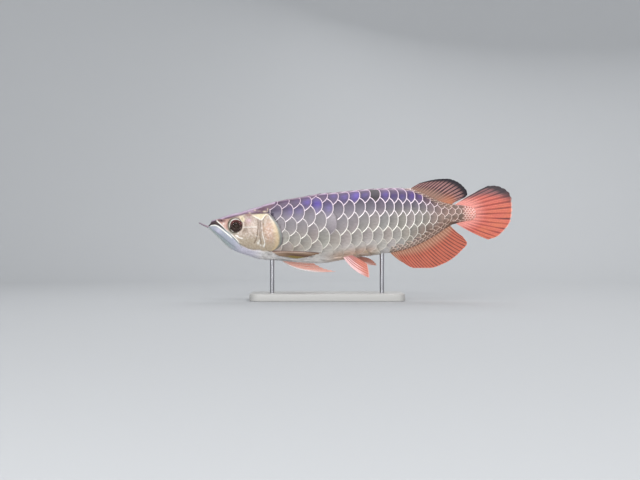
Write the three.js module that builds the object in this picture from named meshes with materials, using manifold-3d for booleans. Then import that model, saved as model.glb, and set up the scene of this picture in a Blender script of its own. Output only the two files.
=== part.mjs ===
// Asian arowana, half a metre long, as a still museum model on a plain stand.
// Millimetres, +Z up. The head points to -X, the left flank faces -Y, and the
// origin is the middle of the stand's underside.
import * as THREE from 'three';
import { mergeVertices } from 'three/addons/utils/BufferGeometryUtils.js';
import Module from 'manifold-3d';

const wasm = await Module();
wasm.setup();

// Room between two pieces that touch.
const GAP = 0.3;

// The body from jaw tip to tail root: place along the fish, height of the back,
// height of the belly, and half the width.
const BODY_STATIONS = [
  [-196, 118.5, 118.5, 0],
  [-194.5, 122, 117.3, 4.5],
  [-192, 124.5, 115.5, 7.5],
  [-188.5, 130.5, 112, 10],
  [-175.5, 134.5, 99.5, 14.5],
  [-159, 140, 84.5, 17.5],
  [-142.5, 144, 77, 19.5],
  [-126.5, 149, 72, 21.5],
  [-110, 153.5, 67, 23],
  [-77, 162, 65, 24.5],
  [-44.5, 167.5, 62, 25.5],
  [-11.5, 173.5, 60.5, 26],
  [21.5, 176.5, 65.5, 25.5],
  [54, 180, 71.5, 24],
  [87, 182.5, 75.5, 21.5],
  [119.5, 183.5, 81, 18],
  [133, 183, 84.8, 16.5],
  [152.5, 176.5, 92.5, 14],
  [185.5, 161.5, 111.5, 9],
  [205, 156.5, 125.5, 6.5],
  [223, 155, 128.5, 4.2],
  [241, 151, 132, 2],
  [247, 142, 142, 0],
];
// Height of the widest level, as a share of the body's depth.
const WIDEST_LEVEL = 0.52;
// How full a cross-section is over and under its widest level; 2 is an ellipse.
const BACK_FULLNESS = [[-196, 2.7], [-110, 2.5], [0, 2.3], [247, 2.1]];
const BELLY_FULLNESS = [[-196, 2.3], [-110, 2.1], [0, 1.95], [247, 2]];
const SECTION_STEPS = 40;
// How far the point that closes an end lies past its last ring.
const END_REACH = 0.6;

// The shoulder line, where the head and gill covers end and the scaled trunk begins.
const SHOULDER_LINE = [
  [-101, 166], [-96, 144.5], [-87, 135.5], [-78.5, 124.5], [-73, 113], [-70.5, 101.5],
  [-72, 92], [-78.5, 84.5], [-90, 81.5], [-100, 78], [-106, 72], [-108, 60],
];
// Places of the cross cuts that part the trunk into its lengths.
const FRONT_CUT = 5;
const REAR_CUT = 99.2;
const STALK_CUT = 207;
const STALK_END = 242;
// Smooth rings that clear the stalk's scales where the tail fin is let over it.
const STALK_PLACES = [200, 206, 212, 218, 224, 230, 236, 241, 246];
const STALK_ROOM = GAP + 0.6;

// The mouth line from the tip of the snout to the jaw joint, then down to the throat.
const MOUTH_LINE = [
  [-200, 122.4], [-192.5, 123], [-189.5, 123.5], [-183.5, 123.4], [-179, 121], [-172, 116],
  [-165.5, 110.5], [-157.5, 104], [-149, 97.5], [-142.5, 91], [-133, 81], [-124, 66],
];
// The gill cover's front and lower edge; its rear edge is the shoulder line.
const GILL_FRONT_EDGE = [
  [-60, 79], [-92, 79.5], [-100, 82.5], [-107, 86], [-111, 92], [-112.2, 108], [-111.5, 128],
  [-110, 139.5], [-104, 142.2], [-96, 143.2], [-60, 146],
];
const GILL_PLATE_RISE = 0.7;
const GILL_INNER_FACE = 12;

// Eye: centre along and up, radius seen from the side, depth, distance from the middle.
const EYE_X = -149;
const EYE_Z = 122;
const EYE_RADIUS = 13.5;
const EYE_HALF_DEPTH = 7;
const EYE_OUT = 14.5;
const EYE_RING_RADIUS = 13;
const EYE_RING_THICK = 1;
const EYE_RING_STEPS = 16;

const NOSTRILS = [[-177.5, 130], [-171, 131.5]];
const NOSTRIL_RADIUS = 1.2;
const LIP_RADIUS = 1.2;
const LIP_STEPS = 24;
const LOWER_LIP = [
  [-158, 103], [-165.5, 109], [-172, 114.4], [-179, 119.3], [-183.5, 121.6], [-188.5, 122],
  [-192, 121.2], [-194.6, 119.8],
];
const UPPER_LIP = [
  [-143, 92], [-149, 99.3], [-157.5, 106], [-165.5, 112.6], [-172, 118.5], [-179, 124.2],
  [-185, 126.4], [-188.6, 126],
];

// Barbels: root on the jaw tip, tip, and radii.
const BARBEL_ROOT = [-193.5, 2.6, 119.6];
const BARBEL_BEND = [-202, 5.5, 121.5];
const BARBEL_TIP = [-210, 7, 127];
const BARBEL_ROOT_RADIUS = 1.5;
const BARBEL_TIP_RADIUS = 0.5;

// Scales: where each column's rear edge stands on the middle row, how far the columns
// lean forward for each row down, the middle row's place round the body from back to
// belly, and the distance between rows, both as shares of the half girth.
const SCALE_COLUMNS = [[-3, -132], [0, -73], [5, 16.5], [10, 101], [15, 168], [20, 224], [23, 246]];
const COLUMN_LEAN = 1.2;
const MIDDLE_ROW = [
  [-60, 0.235], [-36, 0.26], [-19, 0.34], [-1, 0.41], [16, 0.445], [52, 0.485], [120, 0.5],
  [169, 0.5], [194, 0.56], [210, 0.6], [240, 0.5],
];
const ROW_PITCH = [[-60, 0.15], [0, 0.157], [60, 0.165], [150, 0.17], [194, 0.2], [210, 0.24], [240, 0.25]];
const MIDDLE_ROW_NUMBER = 3;
const FIRST_ROW = -2;
const LAST_ROW = 10;
const FIRST_COLUMN = -2;
const LAST_COLUMN = 22.5;
// Step at a scale's rear edge for each millimetre between columns.
const SCALE_STEP_SHARE = 0.055;

// Fins: thickness of the membrane, how much thicker a ray is at its root, the share of
// that which it loses to its tip, how far the margin draws in between two rays, how deep
// roots sit in the body, and the number of rays that shape the room for a root.
const MEMBRANE = 0.7;
const RAY_RIDGE = 0.9;
const RIDGE_TAPER = 0.6;
const MARGIN_SCALLOP = 0.03;
const MIDLINE_ROOT_THICK = 3.6;
const PAIRED_ROOT_THICK = 1.6;
const TAIL_ROOT_THICK = 1;
const ROOT_SINK = 2.5;
const PAIRED_ROOT_SINK = 2;
const ROOM_RAYS = 4;

// Stand: a flat base and two rods that stop inside the belly.
const BASE_LENGTH = 250;
const BASE_WIDTH = 110;
const BASE_HEIGHT = 12;
const BASE_CORNER = 14;
const BASE_EDGE = 1.5;
const ROD_PLACES = [['front', -90], ['rear', 90]];
const ROD_RADIUS = 3.5;
const ROD_SINK = 6;
const ROD_SIDES = 16;

// A smooth curve through given places that never overshoots between them.
function curveThrough(pairs) {
  const count = pairs.length;
  const slopes = [];
  for (let i = 0; i < count - 1; i += 1) {
    slopes.push((pairs[i + 1][1] - pairs[i][1]) / (pairs[i + 1][0] - pairs[i][0]));
  }
  const tangents = [slopes[0]];
  for (let i = 1; i < count - 1; i += 1) {
    const before = slopes[i - 1];
    const after = slopes[i];
    tangents.push(before * after <= 0 ? 0 : 2 * before * after / (before + after));
  }
  tangents.push(slopes[count - 2]);
  return (x) => {
    if (x <= pairs[0][0]) return pairs[0][1] + tangents[0] * (x - pairs[0][0]);
    if (x >= pairs[count - 1][0]) return pairs[count - 1][1];
    let i = 0;
    while (x > pairs[i + 1][0]) i += 1;
    const span = pairs[i + 1][0] - pairs[i][0];
    const t = (x - pairs[i][0]) / span;
    const rise = pairs[i + 1][1] - pairs[i][1];
    const bend = span * (tangents[i] + tangents[i + 1]) - 2 * rise;
    const ease = 3 * rise - span * (2 * tangents[i] + tangents[i + 1]);
    return pairs[i][1] + t * (span * tangents[i] + t * (ease + t * bend));
  };
}

const backHeight = curveThrough(BODY_STATIONS.map((row) => [row[0], row[1]]));
const bellyHeight = curveThrough(BODY_STATIONS.map((row) => [row[0], row[2]]));
const halfWidth = curveThrough(BODY_STATIONS.map((row) => [row[0], row[3]]));
const backFullness = curveThrough(BACK_FULLNESS);
const bellyFullness = curveThrough(BELLY_FULLNESS);

// One side of the cross-section at x, walked from back to belly. at(g) gives the
// distance out and the height at the share g of its length, and the way outward.
function section(x, grow = 0) {
  const top = backHeight(x) + grow;
  const low = bellyHeight(x) - grow;
  const half = Math.max(halfWidth(x), 0) + grow;
  const level = low + (top - low) * WIDEST_LEVEL;
  const outs = [];
  const heights = [];
  const lengths = [0];
  for (let i = 0; i <= SECTION_STEPS; i += 1) {
    const angle = Math.PI * i / SECTION_STEPS;
    const up = Math.cos(angle);
    const power = 2 / (up > 0 ? backFullness(x) : bellyFullness(x));
    const reach = up > 0 ? top - level : low - level;
    outs.push(half * Math.max(Math.sin(angle), 0) ** power);
    heights.push(level + reach * Math.abs(up) ** power);
    if (i > 0) {
      const step = Math.hypot(outs[i] - outs[i - 1], heights[i] - heights[i - 1]);
      lengths.push(lengths[i - 1] + step);
    }
  }
  outs[SECTION_STEPS] = 0;
  const girth = lengths[SECTION_STEPS];
  const at = (g) => {
    const goal = Math.min(Math.max(g, 0), 1) * girth;
    let i = 0;
    while (i < SECTION_STEPS - 1 && goal > lengths[i + 1]) i += 1;
    const t = (goal - lengths[i]) / Math.max(lengths[i + 1] - lengths[i], 1e-9);
    return [outs[i] + t * (outs[i + 1] - outs[i]), heights[i] + t * (heights[i + 1] - heights[i])];
  };
  return { at, girth, top, low };
}

// Distance from the middle plane to the skin at a place along and a height.
function sideAt(x, z) {
  const cut = section(x);
  let low = 0;
  let high = 1;
  for (let i = 0; i < 24; i += 1) {
    const g = (low + high) / 2;
    if (cut.at(g)[1] > z) low = g;
    else high = g;
  }
  return cut.at(low)[0];
}

function solidFromTriangles(corners) {
  const loose = new THREE.BufferGeometry();
  loose.setAttribute('position', new THREE.Float32BufferAttribute(corners.flat(2), 3));
  return solidFromGeometry(loose);
}

function solidFromGeometry(geometry) {
  const bare = new THREE.BufferGeometry();
  bare.setAttribute('position', geometry.getAttribute('position'));
  bare.setIndex(geometry.getIndex());
  const merged = mergeVertices(bare, 1e-4);
  const vertProperties = new Float32Array(merged.getAttribute('position').array);
  const index = merged.getIndex().array;
  const kept = [];
  for (let i = 0; i < index.length; i += 3) {
    const [a, b, c] = [index[i], index[i + 1], index[i + 2]];
    if (a !== b && b !== c && c !== a) kept.push(a, b, c);
  }
  return new wasm.Manifold(new wasm.Mesh({ numProp: 3, vertProperties, triVerts: new Uint32Array(kept) }));
}

// Only the largest closed surface of a solid is kept.
function largestBody(solid) {
  const bodies = solid.decompose();
  bodies.sort((a, b) => b.volume() - a.volume());
  return bodies[0];
}

function meshFromSolid(name, solid, look) {
  const { vertProperties, triVerts, numProp } = largestBody(solid).getMesh();
  const positions = new Float32Array(vertProperties.length / numProp * 3);
  for (let i = 0; i < positions.length / 3; i += 1) {
    for (let k = 0; k < 3; k += 1) positions[3 * i + k] = vertProperties[numProp * i + k];
  }
  const geometry = new THREE.BufferGeometry();
  geometry.setAttribute('position', new THREE.BufferAttribute(positions, 3));
  geometry.setIndex(new THREE.BufferAttribute(new Uint32Array(triVerts), 1));
  geometry.computeVertexNormals();
  const mesh = new THREE.Mesh(geometry, new THREE.MeshStandardMaterial(look));
  mesh.name = name;
  return mesh;
}

// A closed skin of rings: each ring is a list of points round the body, and the
// first and last rings are closed to a point.
function solidFromRings(rings, firstPole, lastPole) {
  const corners = [];
  const count = rings[0].length;
  for (let i = 0; i < rings.length - 1; i += 1) {
    for (let j = 0; j < count; j += 1) {
      const k = (j + 1) % count;
      corners.push([rings[i][j], rings[i + 1][j], rings[i][k]]);
      corners.push([rings[i][k], rings[i + 1][j], rings[i + 1][k]]);
    }
  }
  for (let j = 0; j < count; j += 1) {
    const k = (j + 1) % count;
    corners.push([firstPole, rings[0][j], rings[0][k]]);
    corners.push([lastPole, rings[rings.length - 1][k], rings[rings.length - 1][j]]);
  }
  const solid = solidFromTriangles(corners);
  return solid.volume() < 0 ? solidFromTriangles(corners.map((tri) => [tri[0], tri[2], tri[1]])) : solid;
}

// The smooth body between two places, with a number of rings and of points a side.
function smoothBody(places, pointsPerSide, grow = 0) {
  const rings = places.map((x) => {
    const cut = section(x, grow);
    const ring = [];
    for (let j = 0; j <= pointsPerSide; j += 1) {
      const [out, up] = cut.at(j / pointsPerSide);
      ring.push([x, -out, up]);
    }
    for (let j = pointsPerSide - 1; j > 0; j -= 1) {
      const [out, up] = cut.at(j / pointsPerSide);
      ring.push([x, out, up]);
    }
    return ring;
  });
  const first = section(places[0], grow);
  const last = section(places[places.length - 1], grow);
  const firstPole = [places[0] - END_REACH, 0, (first.top + first.low) / 2];
  const lastPole = [places[places.length - 1] + END_REACH, 0, (last.top + last.low) / 2];
  return solidFromRings(rings, firstPole, lastPole);
}

// A plate of the given side outline, as deep across the fish as asked.
function sidePrism(outline, nearY, farY) {
  const shape = new THREE.Shape(outline.map(([x, z]) => new THREE.Vector2(x, z)));
  const geometry = new THREE.ExtrudeGeometry(shape, { depth: farY - nearY, bevelEnabled: false });
  geometry.rotateX(Math.PI / 2);
  geometry.translate(0, farY, 0);
  return solidFromGeometry(geometry);
}

// Moves an open side line square to itself, to the left of its direction.
function shiftLine(line, distance) {
  return line.map((point, i) => {
    const before = line[Math.max(i - 1, 0)];
    const after = line[Math.min(i + 1, line.length - 1)];
    const along = [after[0] - before[0], after[1] - before[1]];
    const size = Math.hypot(along[0], along[1]);
    return [point[0] - distance * along[1] / size, point[1] + distance * along[0] / size];
  });
}

// A fin as one closed sheet. Each ray is a quadratic curve from its root to its tip;
// every second column is a ray, thicker than the membrane between. A grown fin is the
// room it is let into, as thick all over as its rays.
function finSolid(fin, grow = 0) {
  const columns = 2 * fin.rays - 1;
  const centres = [];
  for (let i = 0; i < columns; i += 1) {
    const share = i / (columns - 1);
    const isRay = i % 2 === 0;
    const root = new THREE.Vector3(...fin.root(share));
    const tip = new THREE.Vector3(...fin.tip(share));
    if (!isRay) tip.lerp(root, MARGIN_SCALLOP);
    const bend = new THREE.Vector3(...fin.bend(share, root, tip));
    const ray = new THREE.QuadraticBezierCurve3(root, bend, tip);
    const row = [];
    for (let j = 0; j <= fin.steps; j += 1) row.push(ray.getPoint(j / fin.steps));
    if (grow > 0) {
      const start = row[0].clone().sub(row[1]).setLength(grow);
      row[0].add(start);
    }
    centres.push(row);
  }
  if (grow > 0) {
    for (let j = 0; j <= fin.steps; j += 1) {
      const ahead = centres[0][j].clone().sub(centres[1][j]).setLength(grow);
      centres[0][j].add(ahead);
      const behind = centres[columns - 1][j].clone().sub(centres[columns - 2][j]).setLength(grow);
      centres[columns - 1][j].add(behind);
    }
  }
  const faces = [[], []];
  for (let i = 0; i < columns; i += 1) {
    for (let j = 0; j <= fin.steps; j += 1) {
      const across = centres[Math.min(i + 1, columns - 1)][j].clone().sub(centres[Math.max(i - 1, 0)][j]);
      const along = centres[i][Math.min(j + 1, fin.steps)].clone().sub(centres[i][Math.max(j - 1, 0)]);
      const normal = across.cross(along).normalize();
      const t = j / fin.steps;
      const flesh = fin.rootThick * (1 - t) ** 3;
      const ridge = i % 2 === 0 || grow > 0 ? RAY_RIDGE * (1 - RIDGE_TAPER * t) : 0;
      const half = (MEMBRANE + flesh + ridge) / 2 + grow;
      faces[0].push(centres[i][j].clone().addScaledVector(normal, half).toArray());
      faces[1].push(centres[i][j].clone().addScaledVector(normal, -half).toArray());
    }
  }
  const corners = [];
  const place = (i, j) => i * (fin.steps + 1) + j;
  const addQuad = (a, b, c, d) => corners.push([a, b, c], [a, c, d]);
  for (let i = 0; i < columns - 1; i += 1) {
    for (let j = 0; j < fin.steps; j += 1) {
      const [a, b, c, d] = [place(i, j), place(i + 1, j), place(i + 1, j + 1), place(i, j + 1)];
      addQuad(faces[0][a], faces[0][b], faces[0][c], faces[0][d]);
      corners.push([faces[1][a], faces[1][c], faces[1][b]], [faces[1][a], faces[1][d], faces[1][c]]);
    }
    const [a, b] = [place(i, 0), place(i + 1, 0)];
    addQuad(faces[1][a], faces[1][b], faces[0][b], faces[0][a]);
    const [c, d] = [place(i, fin.steps), place(i + 1, fin.steps)];
    addQuad(faces[0][c], faces[0][d], faces[1][d], faces[1][c]);
  }
  for (let j = 0; j < fin.steps; j += 1) {
    const [a, b] = [place(0, j), place(0, j + 1)];
    addQuad(faces[0][a], faces[0][b], faces[1][b], faces[1][a]);
    const [c, d] = [place(columns - 1, j), place(columns - 1, j + 1)];
    addQuad(faces[1][c], faces[1][d], faces[0][d], faces[0][c]);
  }
  return solidFromTriangles(corners);
}

// The room that a fin's root takes in the body.
const finRoom = (fin) => finSolid({ ...fin, rays: ROOM_RAYS }, GAP);

// A round tapering rod along a curve, closed to a point at both ends.
function taperedTube(points, radiusAt, steps, sides) {
  const curve = new THREE.CatmullRomCurve3(points.map((point) => new THREE.Vector3(...point)));
  const frames = curve.computeFrenetFrames(steps, false);
  const rings = [];
  for (let i = 0; i <= steps; i += 1) {
    const centre = curve.getPointAt(i / steps);
    const radius = radiusAt(i / steps);
    const ring = [];
    for (let j = 0; j < sides; j += 1) {
      const angle = 2 * Math.PI * j / sides;
      const point = centre.clone();
      point.addScaledVector(frames.normals[i], radius * Math.cos(angle));
      point.addScaledVector(frames.binormals[i], radius * Math.sin(angle));
      ring.push(point.toArray());
    }
    rings.push(ring);
  }
  const start = curve.getPointAt(0).addScaledVector(frames.tangents[0], -0.5 * radiusAt(0));
  const end = curve.getPointAt(1).addScaledVector(frames.tangents[steps], 0.5 * radiusAt(1));
  return solidFromRings(rings, start.toArray(), end.toArray());
}

// Side line points laid on the skin of one side; side is -1 for left and 1 for right.
function onSkin(line, side, proud = 0) {
  return line.map(([x, z]) => [x, side * (sideAt(x, z) + proud), z]);
}

// A smooth curve over named tips, as [x, y, z] for a share of the fin from front to rear.
function tipCurve(points) {
  const places = points.map((point) => new THREE.Vector3(...point));
  const curve = new THREE.CatmullRomCurve3(places, false, 'centripetal');
  return (share) => curve.getPointAt(share).toArray();
}

// A ray's bend: the middle of root and tip moved by a share of the ray's length,
// square to the ray in the side view.
function sideBow(amount) {
  return (share, root, tip) => {
    const [dx, dz] = [tip.x - root.x, tip.z - root.z];
    return [(root.x + tip.x) / 2 - amount * dz, (root.y + tip.y) / 2, (root.z + tip.z) / 2 + amount * dx];
  };
}

const columnPlace = curveThrough(SCALE_COLUMNS);
const middleRow = curveThrough(MIDDLE_ROW);
const rowPitch = curveThrough(ROW_PITCH);

// A scale as it shows between its neighbours: a six-sided plate whose rear edge is
// bowed. Corners are given in columns back, rows down, and share of the full step.
const SCALE_BOW = 0.08;
const SCALE_FLAT = 0.35;
const SCALE_CORNERS = {
  upper: [0, -SCALE_FLAT],
  rear: [SCALE_BOW, 0],
  lower: [0, SCALE_FLAT],
  under: [-0.5, 1 - SCALE_FLAT],
  frontLower: [-1, SCALE_FLAT],
  front: [SCALE_BOW - 1, 0],
  frontUpper: [-1, -SCALE_FLAT],
  over: [-0.5, SCALE_FLAT - 1],
};
const SCALE_FACE = [
  ['upper', 1], ['rear', 1], ['lower', 1], ['under', 0.5], ['frontLower', 0], ['front', 0],
  ['frontUpper', 0], ['over', 0.5],
];
const SCALE_WALLS = [
  [['upper', 1], ['over', 0.5], ['over', 0], ['upper', 0.5]],
  [['rear', 1], ['upper', 1], ['upper', 0.5], ['upper', 0], ['rear', 0]],
  [['rear', 1], ['rear', 0], ['lower', 0], ['lower', 0.5], ['lower', 1]],
  [['under', 0.5], ['lower', 1], ['lower', 0.5], ['under', 0]],
];

// A corner of a scale as place along, share of the half girth, and height over the skin.
function scaleCorner(column, row, name, share) {
  const atColumn = column + SCALE_CORNERS[name][0];
  const rowsDown = row + SCALE_CORNERS[name][1] - MIDDLE_ROW_NUMBER;
  const x = columnPlace(atColumn) - COLUMN_LEAN * rowsDown;
  const spacing = columnPlace(atColumn + 0.5) - columnPlace(atColumn - 0.5);
  const g = middleRow(x) + rowsDown * rowPitch(x);
  return [x, g, share * SCALE_STEP_SHARE * spacing];
}

// The part of a polygon with a positive value of keep, which is linear in g.
function clipPolygon(polygon, keep) {
  const kept = [];
  polygon.forEach((point, i) => {
    const next = polygon[(i + 1) % polygon.length];
    const [here, there] = [keep(point), keep(next)];
    if (here >= 0) kept.push(point);
    if ((here > 0 && there < 0) || (here < 0 && there > 0)) {
      const [a, b] = here > 0 ? [point, next] : [next, point];
      const t = keep(a) / (keep(a) - keep(b));
      kept.push(a.map((value, k) => value + t * (b[k] - value)));
    }
  });
  return kept;
}

// A point on the skin of the left half, lifted square to the cross-section.
function skinPoint([x, g, lift]) {
  const cut = section(x);
  const [out, up] = cut.at(g);
  if (g < 1e-6 || g > 1 - 1e-6) return [x, 0, up + (g < 0.5 ? lift : -lift)];
  const before = cut.at(g - 0.01);
  const after = cut.at(g + 0.01);
  const size = Math.hypot(after[0] - before[0], after[1] - before[1]);
  const outward = (before[1] - after[1]) / size;
  const upward = (after[0] - before[0]) / size;
  return [x, -(out + lift * outward), up + lift * upward];
}

function triangleArea(a, b, c) {
  const [u, v] = [new THREE.Vector3(...b), new THREE.Vector3(...c)];
  const origin = new THREE.Vector3(...a);
  return u.sub(origin).cross(v.sub(origin)).length() / 2;
}

// A polygon as a fan from the corner that gives the best smallest triangle.
function fanTriangles(points) {
  let best = [];
  let bestArea = -1;
  for (let start = 0; start < points.length; start += 1) {
    const turned = [...points.slice(start), ...points.slice(0, start)];
    const fan = [];
    for (let i = 1; i < turned.length - 1; i += 1) fan.push([turned[0], turned[i], turned[i + 1]]);
    const smallest = Math.min(...fan.map((tri) => triangleArea(...tri)));
    if (smallest > bestArea) [best, bestArea] = [fan, smallest];
  }
  return best;
}

// The trunk as one closed skin of scale plates, each rising to its rear edge.
function scaledBody() {
  const left = [];
  for (let row = FIRST_ROW; row <= LAST_ROW; row += 1) {
    const offset = row % 2 === 0 ? 0.5 : 0;
    for (let column = FIRST_COLUMN + offset; column <= LAST_COLUMN; column += 1) {
      [SCALE_FACE, ...SCALE_WALLS].forEach((outline) => {
        let polygon = outline.map(([name, share]) => scaleCorner(column, row, name, share));
        polygon = clipPolygon(polygon, (point) => (Math.abs(point[1]) < 1e-7 ? 0 : point[1]));
        polygon = clipPolygon(polygon, (point) => (Math.abs(1 - point[1]) < 1e-7 ? 0 : 1 - point[1]));
        if (polygon.length > 2) left.push(...fanTriangles(polygon.map(skinPoint)));
      });
    }
  }
  const corners = left.map(([a, b, c]) => [a, c, b]);
  left.forEach((tri) => corners.push(tri.map(([x, y, z]) => [x, -y, z])));
  return solidFromTriangles([...corners, ...endCaps(corners)]);
}

// Triangles that close the open front and rear of a skin to a point on its axis.
function endCaps(corners) {
  const key = (point) => point.map((value) => Math.round(value * 1e4)).join();
  const open = new Map();
  corners.forEach((tri) => tri.forEach((from, i) => {
    const to = tri[(i + 1) % 3];
    const [a, b] = [key(from), key(to)];
    if (a === b) return;
    if (open.has(`${b} ${a}`)) open.delete(`${b} ${a}`);
    else open.set(`${a} ${b}`, [from, to]);
  }));
  const edges = [...open.values()];
  const places = edges.map(([from]) => from[0]);
  const middle = (Math.min(...places) + Math.max(...places)) / 2;
  const poles = [false, true].map((isRear) => {
    const end = edges.filter(([from]) => (from[0] > middle) === isRear);
    const along = end.map(([from]) => from[0]);
    const reach = isRear ? Math.max(...along) : Math.min(...along);
    const height = end.reduce((sum, [from]) => sum + from[2], 0) / end.length;
    return [reach + (isRear ? 0.5 : -0.5), 0, height];
  });
  return edges.map(([from, to]) => [to, from, poles[from[0] > middle ? 1 : 0]]);
}

// Head, lower jaw, gill covers, eyes, lips and barbels.
const HEAD_PLACES = [
  -195.6, -194.8, -193.5, -192, -190, -188, -184, -179, -173, -167, -160, -153, -146, -139, -131, -123,
  -115, -107, -98, -89, -80, -70, -60,
];
const HEAD_POINTS_PER_SIDE = 12;
// Reach of the cutting blocks, past the fish on every side.
const ACROSS = 60;
const AHEAD = -230;
const BEHIND = 280;
const BELOW = 20;
const ABOVE = 240;

const headLoft = smoothBody(HEAD_PLACES, HEAD_POINTS_PER_SIDE);
const plateLoft = smoothBody(HEAD_PLACES, HEAD_POINTS_PER_SIDE, GILL_PLATE_RISE);
const [shoulderTop, shoulderFoot] = [SHOULDER_LINE[0], SHOULDER_LINE[SHOULDER_LINE.length - 1]];
const aheadOfShoulder = [
  ...shiftLine(SHOULDER_LINE, -GAP / 2).reverse(), [AHEAD, shoulderTop[1]], [AHEAD, shoulderFoot[1]],
];
const behindShoulder = [
  ...shiftLine(SHOULDER_LINE, GAP / 2), [BEHIND, BELOW], [BEHIND, ABOVE], [shoulderTop[0], ABOVE],
];
const headBlock = sidePrism(aheadOfShoulder, -ACROSS, ACROSS);
const jawBlock = (distance) => {
  const [tip, throat] = [MOUTH_LINE[0], MOUTH_LINE[MOUTH_LINE.length - 1]];
  const outline = [...shiftLine(MOUTH_LINE, distance), [throat[0], BELOW], [AHEAD, BELOW], [AHEAD, tip[1]]];
  return sidePrism(outline, -ACROSS, ACROSS);
};
const gillBlock = (side, distance) => {
  const inner = GILL_INNER_FACE - distance;
  const outline = shiftLine(GILL_FRONT_EDGE, distance);
  return side < 0 ? sidePrism(outline, -ACROSS, -inner) : sidePrism(outline, inner, ACROSS);
};

const eyeSolid = (side, grow = 0) => {
  const ball = new THREE.SphereGeometry(1, 20, 12);
  ball.rotateX(Math.PI / 2);
  ball.scale(EYE_RADIUS + grow, EYE_HALF_DEPTH + grow, EYE_RADIUS + grow);
  ball.translate(EYE_X, side * EYE_OUT, EYE_Z);
  return solidFromGeometry(ball);
};

// The lids' rim, a thin ring on the skin round the eye.
const eyeRing = (side) => {
  const points = [];
  for (let i = 0; i < EYE_RING_STEPS; i += 1) {
    const angle = side * 2 * Math.PI * i / EYE_RING_STEPS;
    const [x, z] = [EYE_X + EYE_RING_RADIUS * Math.cos(angle), EYE_Z + EYE_RING_RADIUS * Math.sin(angle)];
    points.push(new THREE.Vector3(x, side * sideAt(x, z), z));
  }
  const curve = new THREE.CatmullRomCurve3(points, true);
  return solidFromGeometry(new THREE.TubeGeometry(curve, EYE_RING_STEPS, EYE_RING_THICK, 4, true));
};

const nostril = ([x, z], side) => {
  const pit = new THREE.SphereGeometry(NOSTRIL_RADIUS, 8, 6);
  pit.translate(x, side * sideAt(x, z), z);
  return solidFromGeometry(pit);
};

// A lip runs round the front of the mouth from one corner to the other.
const lipSolid = (line, radius) => {
  const left = onSkin(line, -1);
  const right = onSkin(line, 1).reverse();
  const taper = (share) => radius * (1 - 0.5 * (2 * share - 1) ** 4);
  return taperedTube([...left, ...right], taper, LIP_STEPS, 4);
};

const barbelSolid = (side, grow = 0) => {
  const path = [BARBEL_ROOT, BARBEL_BEND, BARBEL_TIP].map(([x, y, z]) => [x, side * y, z]);
  const radius = (share) => BARBEL_ROOT_RADIUS + share * (BARBEL_TIP_RADIUS - BARBEL_ROOT_RADIUS) + grow;
  return taperedTube(path, radius, 8, 8);
};

const SIDES = [['left', -1], ['right', 1]];

let lowerJaw = headLoft.add(lipSolid(LOWER_LIP, LIP_RADIUS)).intersect(jawBlock(-GAP / 2));
let head = headLoft.add(lipSolid(UPPER_LIP, LIP_RADIUS));
SIDES.forEach(([, side]) => {
  head = head.add(eyeRing(side));
  NOSTRILS.forEach((place) => {
    head = head.subtract(nostril(place, side));
  });
  head = head.subtract(eyeSolid(side, GAP)).subtract(gillBlock(side, GAP / 2));
  lowerJaw = lowerJaw.subtract(barbelSolid(side, GAP));
});
head = head.intersect(headBlock).subtract(jawBlock(GAP / 2));
// Trunk: front, middle and rear lengths and the tail stalk, parted by thin cross cuts.
const bodySkin = scaledBody();
const trunkBlock = (from, to) => {
  return sidePrism([[from, BELOW], [to, BELOW], [to, ABOVE], [from, ABOVE]], -ACROSS, ACROSS);
};
const trunkLengths = {
  trunk_front: bodySkin.intersect(sidePrism(behindShoulder, -ACROSS, ACROSS))
    .intersect(trunkBlock(AHEAD, FRONT_CUT - GAP / 2)),
  trunk_middle: bodySkin.intersect(trunkBlock(FRONT_CUT + GAP / 2, REAR_CUT - GAP / 2)),
  trunk_rear: bodySkin.intersect(trunkBlock(REAR_CUT + GAP / 2, STALK_CUT - GAP / 2)),
  tail_stalk: bodySkin.intersect(trunkBlock(STALK_CUT + GAP / 2, STALK_END)),
};

// Fins on the middle line: their roots follow the back, the belly or the tail stalk.
const DORSAL_ROOT = [133, 201];
const ANAL_ROOT = [101.5, 199.5];
const sharePlace = ([from, to], share) => from + share * (to - from);

const dorsalFin = {
  rays: 18,
  steps: 4,
  rootThick: MIDLINE_ROOT_THICK,
  root: (share) => {
    const x = sharePlace(DORSAL_ROOT, share);
    return [x, 0, backHeight(x) - ROOT_SINK];
  },
  tip: tipCurve([
    [152.5, 0, 191], [170, -0.3, 196], [185, -0.6, 198.6], [198, -1, 199], [209.3, -1.5, 196],
    [218, -1.8, 191], [225, -2, 184.4], [229.2, -2, 178], [230, -2, 173], [226.5, -2, 168.8],
    [215, -1.5, 163.5],
  ]),
  bend: sideBow(0.1),
};

const analFin = {
  rays: 25,
  steps: 4,
  rootThick: MIDLINE_ROOT_THICK,
  root: (share) => {
    const x = sharePlace(ANAL_ROOT, share);
    return [x, 0, bellyHeight(x) + ROOT_SINK];
  },
  tip: tipCurve([
    [121.5, 0, 63], [144.5, 0.5, 52], [169, 1, 52], [192, 1.5, 59], [210, 1.5, 70],
    [222, 1.5, 81.5], [230.5, 1, 92.5], [223, 0.5, 104],
  ]),
  bend: sideBow(-0.08),
};

const caudalFin = {
  rays: 16,
  steps: 5,
  rootThick: TAIL_ROOT_THICK,
  root: tipCurve([[208, 0, 155.5], [221, 0, 152.5], [227, 0, 142], [221, 0, 131.5], [208, 0, 127.5]]),
  tip: tipCurve([
    [264, 1, 187.3], [276, 0.7, 187.7], [287, 0.5, 184.5], [297.5, 0, 177.5], [303, -0.5, 165],
    [304, -0.5, 149], [301.5, 0, 130], [289, 0.5, 112], [279, 1, 103.4], [265.5, 1.5, 98.7],
  ]),
  bend: (share, root, tip) => sideBow(0.05 * (1 - 2 * share))(share, root, tip),
};

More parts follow.
